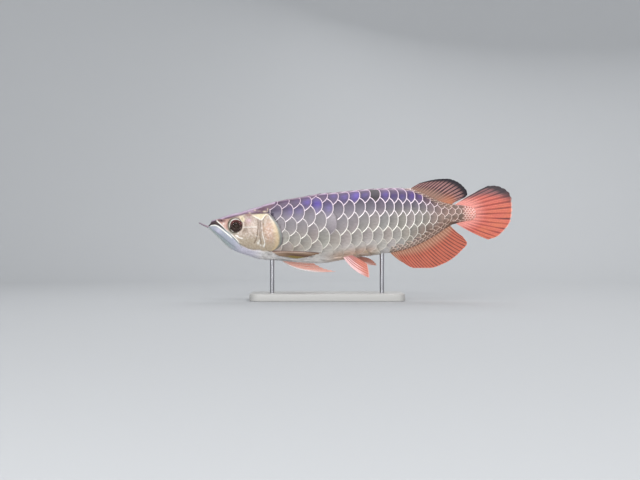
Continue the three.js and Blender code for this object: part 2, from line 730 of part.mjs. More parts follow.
// Paired fins: each root is a short line on the belly's side, each fin its own pose.
const PECTORAL_ROOT = [[-91, 80], [-80, 73.5]];
const PELVIC_ROOT = [[26, 71], [38.5, 74.5]];
const pairedRoot = ([from, to], side) => (share) => {
  const x = from[0] + share * (to[0] - from[0]);
  const z = from[1] + share * (to[1] - from[1]);
  return [x, side * (sideAt(x, z) - PAIRED_ROOT_SINK), z];
};
const pairedFin = (rays, root, tips, leadBend, restBend) => ({
  rays,
  steps: 5,
  rootThick: PAIRED_ROOT_THICK,
  root,
  tip: tipCurve(tips),
  bend: (share, start, end) => {
    const middle = start.clone().lerp(end, 0.5);
    const bow = new THREE.Vector3(...leadBend).lerp(new THREE.Vector3(...restBend), share);
    return middle.add(bow).toArray();
  },
});

const pectoralFins = {
  left: pairedFin(
    8,
    pairedRoot(PECTORAL_ROOT, -1),
    [[-13, -72, 77], [-20, -62, 74.5], [-32, -47, 71], [-48, -31, 68.5]],
    [-6, -8, 3],
    [2, -2, -1],
  ),
  right: pairedFin(
    8,
    pairedRoot(PECTORAL_ROOT, 1),
    [[12.5, 47, 46.5], [-3.5, 44, 50.5], [-18, 38, 57.5], [-34, 29, 65.5]],
    [-18, 2, -24],
    [-2, 1, -3],
  ),
};
const pelvicFins = {
  left: pairedFin(
    7,
    pairedRoot(PELVIC_ROOT, -1),
    [[69, -27, 37], [68.5, -25.5, 45], [67, -23, 52], [65.5, -20, 59]],
    [-6, -2, -8],
    [0, 0, -1],
  ),
  right: pairedFin(
    7,
    pairedRoot(PELVIC_ROOT, 1),
    [[83.5, 28, 56], [80.5, 27, 60.5], [74, 25, 66], [66, 22, 69.5]],
    [-3, 2, -6],
    [0, 0, -1],
  ),
};

// Stand: rounded base plate, rods in blind holes of the base and of the belly.
const rodSolid = (x, grow = 0) => {
  const foot = BASE_HEIGHT / 2 - grow;
  const head = bellyHeight(x) + ROD_SINK + grow;
  const rod = new THREE.CylinderGeometry(ROD_RADIUS + grow, ROD_RADIUS + grow, head - foot, ROD_SIDES);
  rod.rotateX(Math.PI / 2);
  rod.translate(x, 0, (head + foot) / 2);
  return solidFromGeometry(rod);
};

const baseSolid = () => {
  const [a, b] = [BASE_LENGTH / 2 - BASE_EDGE, BASE_WIDTH / 2 - BASE_EDGE];
  const outline = new THREE.Shape();
  outline.moveTo(-a + BASE_CORNER, -b);
  outline.lineTo(a - BASE_CORNER, -b);
  outline.absarc(a - BASE_CORNER, -b + BASE_CORNER, BASE_CORNER, -Math.PI / 2, 0);
  outline.absarc(a - BASE_CORNER, b - BASE_CORNER, BASE_CORNER, 0, Math.PI / 2);
  outline.absarc(-a + BASE_CORNER, b - BASE_CORNER, BASE_CORNER, Math.PI / 2, Math.PI);
  outline.absarc(-a + BASE_CORNER, -b + BASE_CORNER, BASE_CORNER, Math.PI, 1.5 * Math.PI);
  const plate = new THREE.ExtrudeGeometry(outline, {
    depth: BASE_HEIGHT - 2 * BASE_EDGE,
    bevelThickness: BASE_EDGE,
    bevelSize: BASE_EDGE,
    bevelSegments: 1,
    curveSegments: 4,
  });
  plate.translate(0, 0, BASE_EDGE);
  return solidFromGeometry(plate);
};

// Each fin and rod is let into the body by its own shape, a little larger.
const letIn = (name, ...pieces) => {
  pieces.forEach((piece) => {
    trunkLengths[name] = trunkLengths[name].subtract(piece);
  });
};
letIn('trunk_rear', finRoom(dorsalFin), finRoom(analFin));
SIDES.forEach(([sideName]) => {
  letIn('trunk_front', finRoom(pectoralFins[sideName]));
  letIn('trunk_middle', finRoom(pelvicFins[sideName]));
});
letIn('trunk_front', rodSolid(ROD_PLACES[0][1], GAP));
letIn('trunk_middle', rodSolid(ROD_PLACES[1][1], GAP));

let standBase = baseSolid();
ROD_PLACES.forEach(([, x]) => {
  standBase = standBase.subtract(rodSolid(x, GAP));
});

// Finish of each kind of piece.
const LOOKS = {
  trunk: { color: 0x9c8f98, roughness: 0.35, metalness: 0.25 },
  head: { color: 0xb9a48f, roughness: 0.35, metalness: 0.15 },
  jaw: { color: 0xb4b6c4, roughness: 0.35, metalness: 0.2 },
  gill: { color: 0xc9b090, roughness: 0.35, metalness: 0.2 },
  eye: { color: 0x1c1010, roughness: 0.08, metalness: 0 },
  barbel: { color: 0xa08a92, roughness: 0.5, metalness: 0 },
  fin: { color: 0xd9694a, roughness: 0.5, metalness: 0 },
  darkFin: { color: 0x6b4048, roughness: 0.5, metalness: 0 },
  base: { color: 0xadaca9, roughness: 0.4, metalness: 0 },
  rod: { color: 0xb8bbc0, roughness: 0.3, metalness: 1 },
};

const arowana = new THREE.Group();
const addPiece = (name, solid, look) => arowana.add(meshFromSolid(name, solid, look));

addPiece('head', head, LOOKS.head);
addPiece('lower_jaw', lowerJaw, LOOKS.jaw);
SIDES.forEach(([sideName, side]) => {
  const cover = plateLoft.intersect(headBlock).intersect(gillBlock(side, -GAP / 2));
  addPiece(`gill_cover_${sideName}`, cover, LOOKS.gill);
  addPiece(`eye_${sideName}`, eyeSolid(side), LOOKS.eye);
  addPiece(`barbel_${sideName}`, barbelSolid(side), LOOKS.barbel);
});
Object.entries(trunkLengths).forEach(([name, solid]) => addPiece(name, solid, LOOKS.trunk));
addPiece('dorsal_fin', finSolid(dorsalFin), LOOKS.darkFin);
addPiece('anal_fin', finSolid(analFin), LOOKS.fin);
SIDES.forEach(([sideName]) => {
  addPiece(`pectoral_fin_${sideName}`, finSolid(pectoralFins[sideName]), LOOKS.fin);
  addPiece(`pelvic_fin_${sideName}`, finSolid(pelvicFins[sideName]), LOOKS.fin);
});
const stalkRoom = smoothBody(STALK_PLACES, HEAD_POINTS_PER_SIDE, STALK_ROOM)
  .intersect(trunkBlock(STALK_PLACES[0], STALK_END + GAP));
addPiece('caudal_fin', finSolid(caudalFin).subtract(stalkRoom), LOOKS.fin);
addPiece('stand_base', standBase, LOOKS.base);
ROD_PLACES.forEach(([place, x]) => addPiece(`stand_rod_${place}`, rodSolid(x), LOOKS.rod));

export default arowana;
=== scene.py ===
import bmesh
import bpy
import numpy as np
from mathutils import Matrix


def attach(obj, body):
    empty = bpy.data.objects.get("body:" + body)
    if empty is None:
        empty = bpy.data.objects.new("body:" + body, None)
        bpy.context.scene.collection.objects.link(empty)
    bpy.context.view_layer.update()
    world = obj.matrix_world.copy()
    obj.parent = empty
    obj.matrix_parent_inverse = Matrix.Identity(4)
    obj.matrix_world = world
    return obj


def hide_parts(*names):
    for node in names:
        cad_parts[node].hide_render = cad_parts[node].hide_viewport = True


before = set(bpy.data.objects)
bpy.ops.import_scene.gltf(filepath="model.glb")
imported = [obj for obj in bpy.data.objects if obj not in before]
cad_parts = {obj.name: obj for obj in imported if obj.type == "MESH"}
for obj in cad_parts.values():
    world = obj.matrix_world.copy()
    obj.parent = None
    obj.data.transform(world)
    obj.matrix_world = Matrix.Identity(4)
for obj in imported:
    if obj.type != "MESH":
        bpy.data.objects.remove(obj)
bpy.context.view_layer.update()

# Camera: level, square to the left flank, as the photograph looks at the fish. One of
# its 640 by 480 pixels is 1.64 mm at the fish, and the lens follows from the distance.
PIXEL = 0.00164
PICTURE_WIDTH = 640
PICTURE_CENTRE = (-0.0115, 0.0984)
CAMERA_DISTANCE = 2.0
SENSOR = 36.0

camera_data = bpy.data.cameras.new("camera")
camera_data.sensor_width = SENSOR
camera_data.lens = SENSOR * CAMERA_DISTANCE / (PICTURE_WIDTH * PIXEL)
camera = bpy.data.objects.new("camera", camera_data)
camera.location = (PICTURE_CENTRE[0], -CAMERA_DISTANCE, PICTURE_CENTRE[1])
camera.rotation_euler = (np.pi / 2, 0, 0)
bpy.context.scene.collection.objects.link(camera)
bpy.context.scene.camera = camera
bpy.context.scene.view_settings.view_transform = "Standard"


# Stage: a pale studio floor that sweeps up into a wall all round, with soft lights.
STAGE_CENTRE = -800.0
FLOOR_RADIUS = 1700.0
SWEEP_RADIUS = 900.0
WALL_HEIGHT = 1500.0
SWEEP_STEPS, ROUND_STEPS = 24, 96
PAPER = (176, 178, 180)
DAYLIGHT = (0.9, 0.93, 1.0, 1)


def quad_grid(rows, columns, closed=False):
    """Corner numbers of the quads of a grid whose points run row by row. A closed grid
    joins its last column to its first."""
    spans = columns if closed else columns - 1
    down, across = np.meshgrid(np.arange(rows - 1), np.arange(spans), indexing="ij")
    near, far, beside = down * columns, (down + 1) * columns, (across + 1) % columns
    return np.stack([near + across, near + beside, far + beside, far + across], -1).reshape(-1, 4)


def new_piece(name, points, *faces):
    """A smooth-shaded object from points in millimetres and lists of corner numbers."""
    mesh = bpy.data.meshes.new(name)
    corners = [face for group in faces for face in np.asarray(group).tolist()]
    mesh.from_pydata((np.asarray(points).reshape(-1, 3) / 1000).tolist(), [], corners)
    mesh.shade_smooth()
    mesh.update()
    piece = bpy.data.objects.new(name, mesh)
    bpy.context.scene.collection.objects.link(piece)
    return piece


def new_material(name):
    """A named material with nodes; returns it, its node tree and its main shader."""
    material = bpy.data.materials.new(name)
    material.use_nodes = True
    tree = material.node_tree
    return material, tree, tree.nodes["Principled BSDF"]


def set_inputs(node, **values):
    """Sets a node's inputs by name, where _ stands for a space in the name."""
    for name, value in values.items():
        node.inputs[name.replace("_", " ")].default_value = value


def tone(red, green, blue):
    """A colour read as 0 to 255 on a screen, as the linear share of light it returns."""
    share = np.array([red, green, blue]) / 255
    return np.where(share < 0.04045, share / 12.92, ((share + 0.055) / 1.055) ** 2.4)


sweep_angle = np.linspace(0, np.pi / 2, SWEEP_STEPS)
sweep_out = FLOOR_RADIUS + SWEEP_RADIUS * np.sin(sweep_angle)
sweep_up = SWEEP_RADIUS * (1 - np.cos(sweep_angle))
profile_out = np.concatenate([[0.0], sweep_out, [FLOOR_RADIUS + SWEEP_RADIUS]])
profile_up = np.concatenate([[0.0], sweep_up, [SWEEP_RADIUS + WALL_HEIGHT]])
round_angle = np.linspace(0, 2 * np.pi, ROUND_STEPS, endpoint=False)
stage_points = np.stack([
    profile_out[:, None] * np.cos(round_angle), STAGE_CENTRE + profile_out[:, None] * np.sin(round_angle),
    np.repeat(profile_up[:, None], ROUND_STEPS, 1)], -1)
stage = new_piece("stage_floor", stage_points, quad_grid(len(profile_out), ROUND_STEPS, closed=True))
stage_material, _, stage_shader = new_material("stage_paper")
set_inputs(stage_shader, Base_Color=(*tone(*PAPER), 1), Roughness=0.9)
stage.data.materials.append(stage_material)


def soft_light(name, place, target, size, power):
    """A square area light at a place in metres, turned to face its target."""
    data = bpy.data.lights.new(name, "AREA")
    data.size = size
    data.energy = power
    light = bpy.data.objects.new(name, data)
    light.location = place
    away = np.array(place, float) - np.array(target, float)
    yaw = np.arctan2(away[1], away[0]) + np.pi / 2
    pitch = np.arccos(away[2] / np.linalg.norm(away))
    light.rotation_euler = (pitch, 0, yaw)
    bpy.context.scene.collection.objects.link(light)


soft_light("light_top", (0.0, -0.3, 1.5), (0, 0, 0.12), 1.2, 10)
soft_light("light_front", (-0.7, -2.8, 1.08), (0, 0, 0.1), 2.24, 52)
soft_light("light_side", (1.4, -1.6, 0.7), (0, 0, 0.1), 1.2, 12)
soft_light("light_low", (-0.32, -2.4, 0.15), (0, 0, 0.07), 1.44, 27)
soft_light("light_back", (0.4, 1.1, 1.3), (0, 0, 0.1), 1.2, 12)
world = bpy.data.worlds.new("studio")
world.use_nodes = True
set_inputs(world.node_tree.nodes["Background"], Color=DAYLIGHT, Strength=0.38)
bpy.context.scene.world = world


# Skin: the whole fish from jaw tip to tail root as one closed sheet over the flesh. Its
# form is a superellipse section carried along the fish; the head's bones, mouth, lips
# and eye sockets are raised in it, and under the scales it lies a little deeper.
BODY_STATIONS = [
    (-196, 118.5, 118.5, 0), (-194.5, 122, 117.3, 4.5), (-192, 124.5, 115.5, 7.5), (-188.5, 130.5, 112, 10),
    (-175.5, 134.5, 99.5, 14.5), (-159, 140, 84.5, 17.5), (-142.5, 144, 77, 19.5), (-126.5, 149, 72, 21.5),
    (-110, 153.5, 67, 23), (-77, 162, 65, 24.5), (-44.5, 167.5, 62, 25.5), (-11.5, 173.5, 60.5, 26),
    (21.5, 176.5, 65.5, 25.5), (54, 180, 71.5, 24), (87, 182.5, 75.5, 21.5), (119.5, 183.5, 81, 18),
    (133, 183, 84.8, 16.5), (152.5, 176.5, 92.5, 14), (185.5, 161.5, 111.5, 9), (205, 156.5, 125.5, 6.5),
    (223, 155, 128.5, 4.2), (241, 151, 132, 2), (247, 142, 142, 0),
]
WIDEST_LEVEL = 0.52
BACK_FULLNESS = [(-196, 2.7), (-110, 2.5), (0, 2.3), (247, 2.1)]
BELLY_FULLNESS = [(-196, 2.3), (-110, 2.1), (0, 1.95), (247, 2)]
SHOULDER_LINE = [
    (-79, 166), (-84, 158), (-92, 148), (-95.5, 144), (-87, 135.5), (-78.5, 124.5), (-73, 113),
    (-70.5, 101.5), (-72, 92), (-78.5, 84.5), (-90, 81.5), (-100, 78), (-106, 72), (-108, 60),
]


def smooth_curve(pairs, x):
    """A cubic between neighbouring pairs. Its slope at a pair is the harmonic mean of
    the chords on both sides, or none at a turning point, so it never overshoots."""
    places, values = np.array(pairs, float)[:, :2].T
    chord = np.diff(values) / np.diff(places)
    same_way = chord[:-1] * chord[1:] > 0
    total = np.where(same_way, chord[:-1] + chord[1:], 1)
    slope = np.concatenate([chord[:1], np.where(same_way, 2 * chord[:-1] * chord[1:] / total, 0), chord[-1:]])
    i = np.clip(np.searchsorted(places, x) - 1, 0, len(places) - 2)
    span = places[i + 1] - places[i]
    t = np.clip((x - places[i]) / span, 0, 1)
    rise = values[i + 1] - values[i]
    bend = span * (slope[i] + slope[i + 1]) - 2 * rise
    ease = 3 * rise - span * (2 * slope[i] + slope[i + 1])
    before = np.minimum(x - places[0], 0) * slope[0]
    return values[i] + t * (span * slope[i] + t * (ease + t * bend)) + before


def back_height(x):
    """Height of the back over a place along the fish."""
    return smooth_curve([(row[0], row[1]) for row in BODY_STATIONS], x)


def belly_height(x):
    """Height of the belly over a place along the fish."""
    return smooth_curve([(row[0], row[2]) for row in BODY_STATIONS], x)


# The form as a fine table: half rings every half millimetre, evenly divided round.
TABLE_STEP, TABLE_ROUND, RING_STEPS = 0.5, 300, 320
DROP_STEP = 1000.0
table_x = np.arange(-196, 247 + TABLE_STEP / 2, TABLE_STEP)
table_g = np.linspace(0, 1, TABLE_ROUND + 1)
ring_angle = np.linspace(0, np.pi, RING_STEPS + 1)
ring_up = np.cos(ring_angle)
back_line, belly_line = back_height(table_x)[:, None], belly_height(table_x)[:, None]
half_width = np.maximum(smooth_curve([(row[0], row[3]) for row in BODY_STATIONS], table_x), 0)[:, None]
widest = belly_line + (back_line - belly_line) * WIDEST_LEVEL
back_power, belly_power = smooth_curve(BACK_FULLNESS, table_x), smooth_curve(BELLY_FULLNESS, table_x)
ring_power = 2 / np.where(ring_up > 0, back_power[:, None], belly_power[:, None])
ring_out = half_width * np.clip(np.sin(ring_angle), 0, 1) ** ring_power
ring_rise = np.where(ring_up > 0, back_line - widest, belly_line - widest)
ring_height = widest + ring_rise * np.abs(ring_up) ** ring_power
ring_length = np.hypot(np.diff(ring_out, axis=1), np.diff(ring_height, axis=1)).cumsum(1)
half_girth = ring_length[:, -1]
ring_share = np.concatenate([np.zeros((len(table_x), 1)), ring_length], 1)
ring_share /= np.maximum(half_girth, 1e-6)[:, None]
ring_number = 2.0 * np.arange(len(table_x))[:, None]
share_key = (ring_share + ring_number).ravel()
table_out = np.interp(table_g + ring_number, share_key, ring_out.ravel())
table_up = np.interp(table_g + ring_number, share_key, ring_height.ravel())
along_out, round_out = np.gradient(table_out, table_x, table_g)
along_up, round_up = np.gradient(table_up, table_x, table_g)
table_normal = np.stack([along_out * round_up - along_up * round_out, round_up, round_out], -1)
table_normal /= np.linalg.norm(table_normal, axis=-1, keepdims=True) + 1e-12
table_place = np.stack([np.repeat(table_x[:, None], TABLE_ROUND + 1, 1), -table_out, table_up], -1)


def cap_faces(rows, columns):
    """Triangles that close the two ends of a closed grid with inward quads, whose two
    end points are numbered after the grid's: the first row's end, then the last's."""
    first = np.arange(columns)
    last = first + (rows - 1) * columns
    start, end = np.full(columns, rows * columns), np.full(columns, rows * columns + 1)
    return np.stack([start, np.roll(first, -1), first], -1), np.stack([last, np.roll(last, -1), end], -1)


def table_value(table, x, g):
    """Value of a body table between its rings and divisions, by straight lines."""
    ring = np.clip((x - table_x[0]) / TABLE_STEP, 0, len(table_x) - 1.001)
    step = np.clip(g * TABLE_ROUND, 0, TABLE_ROUND - 0.001)
    i, j = ring.astype(int), step.astype(int)
    a, b = (ring - i)[..., None], (step - j)[..., None]
    near = table[i, j] * (1 - b) + table[i, j + 1] * b
    far = table[i + 1, j] * (1 - b) + table[i + 1, j + 1] * b
    return near * (1 - a) + far * a


def body_point(x, g, lift=0.0):
    """The left flank's surface at a place along and a share of the half girth, from
    back (0) to belly (1), moved out by lift. Shares past an end run on over the middle."""
    x, g, lift = np.broadcast_arrays(np.asarray(x, float), np.asarray(g, float), np.asarray(lift, float))
    inside = np.where(g > 1, 2 - g, np.abs(g))
    over = np.where((g < 0) | (g > 1), -1.0, 1.0)
    normal = table_value(table_normal, x, inside)
    point = table_value(table_place, x, inside) + lift[..., None] * normal
    point[..., 1] *= over
    return point


def side_share(x, z):
    """Share of the half girth where the left flank has a height, at a place along. The
    rings' drops from the back stand in one rising row, DROP_STEP apart, to look it up."""
    x, z = np.broadcast_arrays(np.asarray(x, float), np.asarray(z, float))
    ring = np.clip((x - table_x[0]) / TABLE_STEP, 0, len(table_x) - 1.001)
    i = ring.astype(int)
    drop = table_up[:, :1] - table_up
    key = (drop + DROP_STEP * np.arange(len(table_x))[:, None]).ravel()
    share = np.tile(table_g, len(table_x))
    near, far = [
        np.interp(DROP_STEP * k + np.clip(table_up[k, 0] - z, 0, None), key, share) for k in (i, i + 1)]
    return np.clip(near + (ring - i) * (far - near), 0, 1)


def side_point(x, z, lift=0.0):
    """The left flank's surface as seen from the side, at a place along and a height."""
    return body_point(x, side_share(x, z), lift)


def soft_step(start, end, value):
    """0 before start, 1 after end, and an even S between them."""
    t = np.clip((value - start) / (end - start), 0, 1)
    return t * t * (3 - 2 * t)


def line_reach(line, x, z):
    """Distance in the side view from a broken line, which side of it a point lies on
    (positive to the right of its direction), and the share of the line passed there."""
    best = np.full(np.shape(x), 1e9)
    side = np.zeros(np.shape(x))
    passed = np.zeros(np.shape(x))
    lengths = [np.hypot(b[0] - a[0], b[1] - a[1]) for a, b in zip(line[:-1], line[1:])]
    done = 0.0
    for (ax, az), (bx, bz), length in zip(line[:-1], line[1:], lengths):
        dx, dz = (bx - ax) / length, (bz - az) / length
        t = np.clip((x - ax) * dx + (z - az) * dz, 0, length)
        ox, oz = x - ax - t * dx, z - az - t * dz
        reach = np.hypot(ox, oz)
        nearer = reach < best
        best = np.where(nearer, reach, best)
        side = np.where(nearer, np.sign(ox * dz - oz * dx), side)
        passed = np.where(nearer, (done + t) / sum(lengths), passed)
        done += length
    return best, side, passed


def bell(value, middle, width):
    """1 at the middle, falling off to both sides as e to minus the square of the
    distance in widths."""
    return np.exp(-((value - middle) / width) ** 2)


def ridge(line, x, z, width, height, fade=0.15):
    """A raised or sunk line with a bell profile, fading out at both its ends."""
    reach, _, passed = line_reach(line, x, z)
    return height * bell(reach, 0, width) * soft_step(0, fade, passed) * soft_step(0, fade, 1 - passed)


MOUTH_LINE = [
    (-197, 119.4), (-194.5, 120.6), (-191, 122.9), (-188, 123.8), (-183.5, 124.3), (-180.5, 123.8),
    (-176.2, 122), (-170.4, 118), (-167, 115), (-160, 109.2), (-153.2, 102.8), (-147.4, 96.4),
    (-142.5, 90.8), (-139, 86),
]
UPPER_JAW_LINE = [
    (-181.6, 131.6), (-179.9, 129.5), (-176.9, 127), (-173.9, 124.5), (-169.3, 120.4), (-164.7, 115.7),
    (-158.9, 110.5), (-154.3, 106), (-147.4, 99.2), (-141.9, 91.6),
]
LOWER_LIP_LINE = [
    (-193, 120), (-190.6, 121.7), (-186, 122.6), (-181.9, 122.3), (-179, 121.1), (-176.2, 119.3),
    (-170.4, 115.1), (-164.7, 110.5), (-157.2, 104.4), (-153, 100.2),
]
JAW_GROOVE = [
    (-188, 116.2), (-182.5, 112), (-176.2, 106.9), (-167.6, 99.8), (-161.8, 95), (-155, 89.6), (-146, 83.6),
]
CORNER_LINE = [(-157, 109), (-153.2, 105.4), (-147.4, 100), (-141.6, 91.6)]
CHEEK_REAR_LINE = [
    (-112.6, 136), (-112, 128), (-111.8, 118), (-113.2, 106.6), (-115.6, 98.4), (-120, 90.5),
]
CHEEK_JOINT_LINE = [(-137, 118.2), (-124, 118.9), (-112.3, 118.7)]
CHEEK_FOLD_LINE = [(-150, 107.4), (-147.2, 105), (-144.3, 102.7), (-140.5, 101.2), (-136, 100.2)]
CHEEK_LOW_LINE = [
    (-147, 98), (-140.7, 90.5), (-134, 87), (-128, 84.2), (-119.4, 82), (-110.5, 82.5), (-104, 81),
]
PLATE_RIDGE_LINE = [
    (-106.4, 131), (-105.6, 121), (-105.1, 114.1), (-104.3, 106.3), (-102.3, 100), (-100.9, 93.8),
    (-102.3, 86),
]
PLATE_GROOVE_LINE = [(-109.2, 134), (-109, 120), (-109.2, 107), (-108, 96), (-106.5, 88)]
CROWN_LINE = [
    (-188, 131), (-182, 132.6), (-177, 133), (-171, 132.8), (-165, 133.2), (-158.5, 134.4),
    (-149.2, 136.6), (-141, 139), (-132.7, 141), (-123, 141.8), (-113, 142), (-104, 141.8), (-97, 142.2),
    (-93, 144.2), (-84, 151.5),
]
THROAT_LINES = [
    [(-132, 79), (-118, 76.5), (-104, 74.5)], [(-128, 83.5), (-114, 81.5), (-101, 80)],
]
# Each line of the relief with its width, its height and the share of it that fades out.
RELIEF_LINES = [
    (LOWER_LIP_LINE, 1.1, 0.9, 0.12), (UPPER_JAW_LINE, 1.0, 0.8, 0.06), (JAW_GROOVE, 1.3, -0.4, 0.15),
    (CORNER_LINE, 0.8, 0.45, 0.15), (CHEEK_REAR_LINE, 0.8, -0.75, 0.08),
    (CHEEK_JOINT_LINE, 0.55, -0.35, 0.15), (CHEEK_FOLD_LINE, 0.9, 0.5, 0.15),
    (CHEEK_LOW_LINE, 0.9, -0.5, 0.15), (PLATE_RIDGE_LINE, 0.9, 0.9, 0.15), (CROWN_LINE, 0.9, -0.45, 0.05),
    (PLATE_GROOVE_LINE, 1.2, -0.5, 0.15), *((line, 0.9, -0.5, 0.15) for line in THROAT_LINES),
]
MOUTH_DEPTH, MOUTH_WIDTH = 1.9, 0.75
NOSTRILS = [(-177, 130.2), (-172, 129.6)]
PIT_DEPTH, PIT_RADIUS, PIT_RIM, PIT_RIM_RADIUS = 1.6, 0.9, 0.5, 1.7
EYE_PLACE = (-149.0, 122.0)
EYE_RIM_RADIUS = 12.4
EYE_RIM_OUT = 17.2
EYE_LAP, LAP_RISE = 0.7, 1.4
SOCKET_DEPTH, BROW_WIDTH = 7.0, 5.5
LID_RISE, LID_FURROW = 0.7, 0.5


def shoulder_place(z):
    """Where the shoulder line stands along the fish, at a height."""
    heights = np.array([row[1] for row in SHOULDER_LINE][::-1])
    return np.interp(z, heights, np.array([row[0] for row in SHOULDER_LINE][::-1]))


def blotches(x, z, fine):
    """A fixed uneven pattern between 0 and 1, from sines of sines of the place."""
    wave_along = np.sin(fine * x + 1.7 * np.sin(0.7 * fine * z + 0.4))
    wave_up = np.sin(1.1 * fine * z + 1.3 * np.sin(0.6 * fine * x))
    return 0.5 + 0.5 * wave_along * wave_up


def on_trunk(x, z):
    """0 on the head and 1 behind the shoulder line, where the scales begin."""
    return soft_step(-0.4, 0.8, x - shoulder_place(z))


def head_relief(x, z):
    """Height of the head's skin over the plain form: each line, lip, plate and pit is a
    bell-shaped ridge or dent round its place in the side view."""
    mouth, _, passed = line_reach(MOUTH_LINE, x, z)
    above_mouth = z > smooth_curve(MOUTH_LINE, x)
    strip = bell(mouth, 2.2, 1.6) * above_mouth * soft_step(0.3, 0.5, passed) * soft_step(1, 0.88, passed)
    rise = 0.5 * strip - MOUTH_DEPTH * bell(mouth, 0, MOUTH_WIDTH) * soft_step(1, 0.86, passed)
    wrinkles = 0.24 * blotches(x, z, 0.75) + 0.16 * blotches(x + 4, z + 1, 1.6) - 0.2
    rise += wrinkles * above_mouth * soft_step(-186, -176, x)
    for line, width, height, fade in RELIEF_LINES:
        rise += ridge(line, x, z, width, height, fade)
    for place_x, place_z in NOSTRILS:
        reach = np.hypot(x - place_x, z - place_z)
        rise += PIT_RIM * bell(reach, PIT_RIM_RADIUS, 0.6) - PIT_DEPTH * bell(reach, 0, PIT_RADIUS)
    return (rise + soft_step(-112, -101, x)) * (1 - on_trunk(x, z))


def skin_depth(x, z):
    """How far the skin lies under the scales: none on the head, then about as much as a
    scale is high, and less towards the tail where the scales are small."""
    return (0.25 + 0.75 * soft_step(247, 60, x)) * on_trunk(x, z)


def behind_eye(x, z):
    """1 behind the eye and 0 ahead of it, by the direction from its middle."""
    reach = np.maximum(np.hypot(x - EYE_PLACE[0], z - EYE_PLACE[1]), 1e-6)
    return soft_step(-0.35, 0.75, (x - EYE_PLACE[0]) / reach)


def past_eye_rim(x, z):
    """Distance outward from the edge of the eye's opening, where behind the eye the skin
    laps over the eyeball."""
    return np.hypot(x - EYE_PLACE[0], z - EYE_PLACE[1]) - EYE_RIM_RADIUS + EYE_LAP * behind_eye(x, z)


def with_eye_sockets(points):
    """Draws the skin out or in to meet the rim of each eye, raises a lid with a furrow
    round it, and sinks a cup inside it. Ahead of the eye an open orbit is left."""
    x, z = points[..., 0], points[..., 2]
    past, behind = past_eye_rim(x, z), behind_eye(x, z)
    out = np.abs(points[..., 1])
    near_rim = bell(np.maximum(past, 0), 0, BROW_WIDTH) * soft_step(0, 4, out)
    lid = (LID_RISE * bell(past, 1.1, 0.9) - LID_FURROW * bell(past, 3.2, 0.8)) * (1 - 0.75 * behind)
    cup = SOCKET_DEPTH * soft_step(0, -2.0, past)
    rim_out = EYE_RIM_OUT + LAP_RISE * behind
    moved = out + near_rim * (rim_out - out) + (lid - cup) * soft_step(2, 9, out)
    points[..., 1] = np.sign(points[..., 1]) * np.maximum(moved, 0)
    return points


SNOUT_STEP, HEAD_STEP, TRUNK_STEP = 0.3, 0.55, 3.0
SKIN_ROUND = 248
skin_x = np.concatenate([
    np.arange(-195.9, -190, SNOUT_STEP), np.arange(-190, -68, HEAD_STEP), np.arange(-67.6, 245, TRUNK_STEP),
    [246.0]])
skin_w = np.linspace(0, 2, SKIN_ROUND, endpoint=False)
skin_g = 1 - np.abs(1 - skin_w)
ring_x, ring_g = np.meshgrid(skin_x, skin_g, indexing="ij")
plain = body_point(ring_x, ring_g)
lift = head_relief(ring_x, plain[..., 2]) - skin_depth(ring_x, plain[..., 2])
skin_points = body_point(ring_x, ring_g, lift)
skin_points[:, skin_w > 1, 1] *= -1
skin_points = with_eye_sockets(skin_points)
snout = skin_points[0].mean(0) - (0.2, 0, 0)
tail = skin_points[-1].mean(0) + (0.4, 0, 0)
ring_count = len(skin_x)
skin = new_piece(
    "skin", np.concatenate([skin_points.reshape(-1, 3), [snout, tail]]),
    quad_grid(ring_count, SKIN_ROUND, closed=True)[:, ::-1], *cap_faces(ring_count, SKIN_ROUND))

CHEEK, CHEEK_SHADE, CHEEK_LOW = tone(176, 154, 139), tone(138, 117, 98), tone(165, 151, 128)
CROWN, CROWN_HIGHLIGHT, CROWN_DARK = tone(132, 106, 124), tone(202, 181, 204), tone(84, 54, 70)
CROWN_MIDDLE, JAW, JAW_HIGHLIGHT = tone(118, 98, 110), tone(165, 170, 183), tone(196, 195, 214)
JAW_LINE, JAW_UNDER, THROAT = tone(116, 128, 126), tone(156, 170, 166), tone(195, 192, 206)
LIP, GREEN_GREY, MOUTH_BROWN_AND_SHADE = tone(244, 242, 236), tone(140, 150, 142), tone(52, 32, 28)
SNOUT_DARK, SNOUT_PINK, NOSTRIL_DARK = tone(62, 46, 54), tone(190, 148, 136), tone(84, 44, 54)
CREAM, LILAC, OLIVE = tone(214, 200, 168), tone(210, 176, 204), tone(156, 146, 104)
BROWN_SPOT, PINK_BROWN, GAP_SHADE = tone(146, 104, 100), tone(190, 150, 138), tone(64, 46, 46)
SOCKET_DARK, SHOULDER_SHADE = tone(66, 60, 52), tone(92, 88, 92)
BELLY_SILVER, BELLY_WARM, CREASE = tone(214, 211, 210), tone(176, 132, 96), tone(110, 80, 62)
UPPER_GREY, REAR_GREY, KEEL_BROWN = tone(80, 72, 80), tone(138, 134, 126), tone(112, 74, 54)
TAIL_BROWN, TAIL_CORAL = tone(126, 101, 89), tone(210, 134, 120)
UNDER_SCALES = 0.85
# The pale tone at 0.045, beside the back's middle row, is a painted highlight.
FLANK_TONES = [
    (0.0, (112, 96, 110)), (0.02, (120, 102, 117)), (0.045, (176, 150, 172)), (0.085, (88, 65, 89)),
    (0.16, (81, 66, 87)), (0.24, (84, 75, 91)), (0.33, (93, 85, 96)), (0.42, (110, 102, 105)),
    (0.5, (127, 119, 119)), (0.6, (148, 141, 137)), (0.7, (167, 160, 155)), (0.8, (184, 180, 174)),
    (1.01, (210, 206, 202)),
]
BELLY_CREASE = [(-16, 73.2), (8, 74.2), (38, 75.6)]
NAPE_LINE = [(-97.5, 144.4), (-93.5, 146), (-86.5, 151.2)]
CREAM_PLATE = [(-106.4, 130.6), (-97.7, 140.4), (-110.2, 141), (-121, 138.2)]
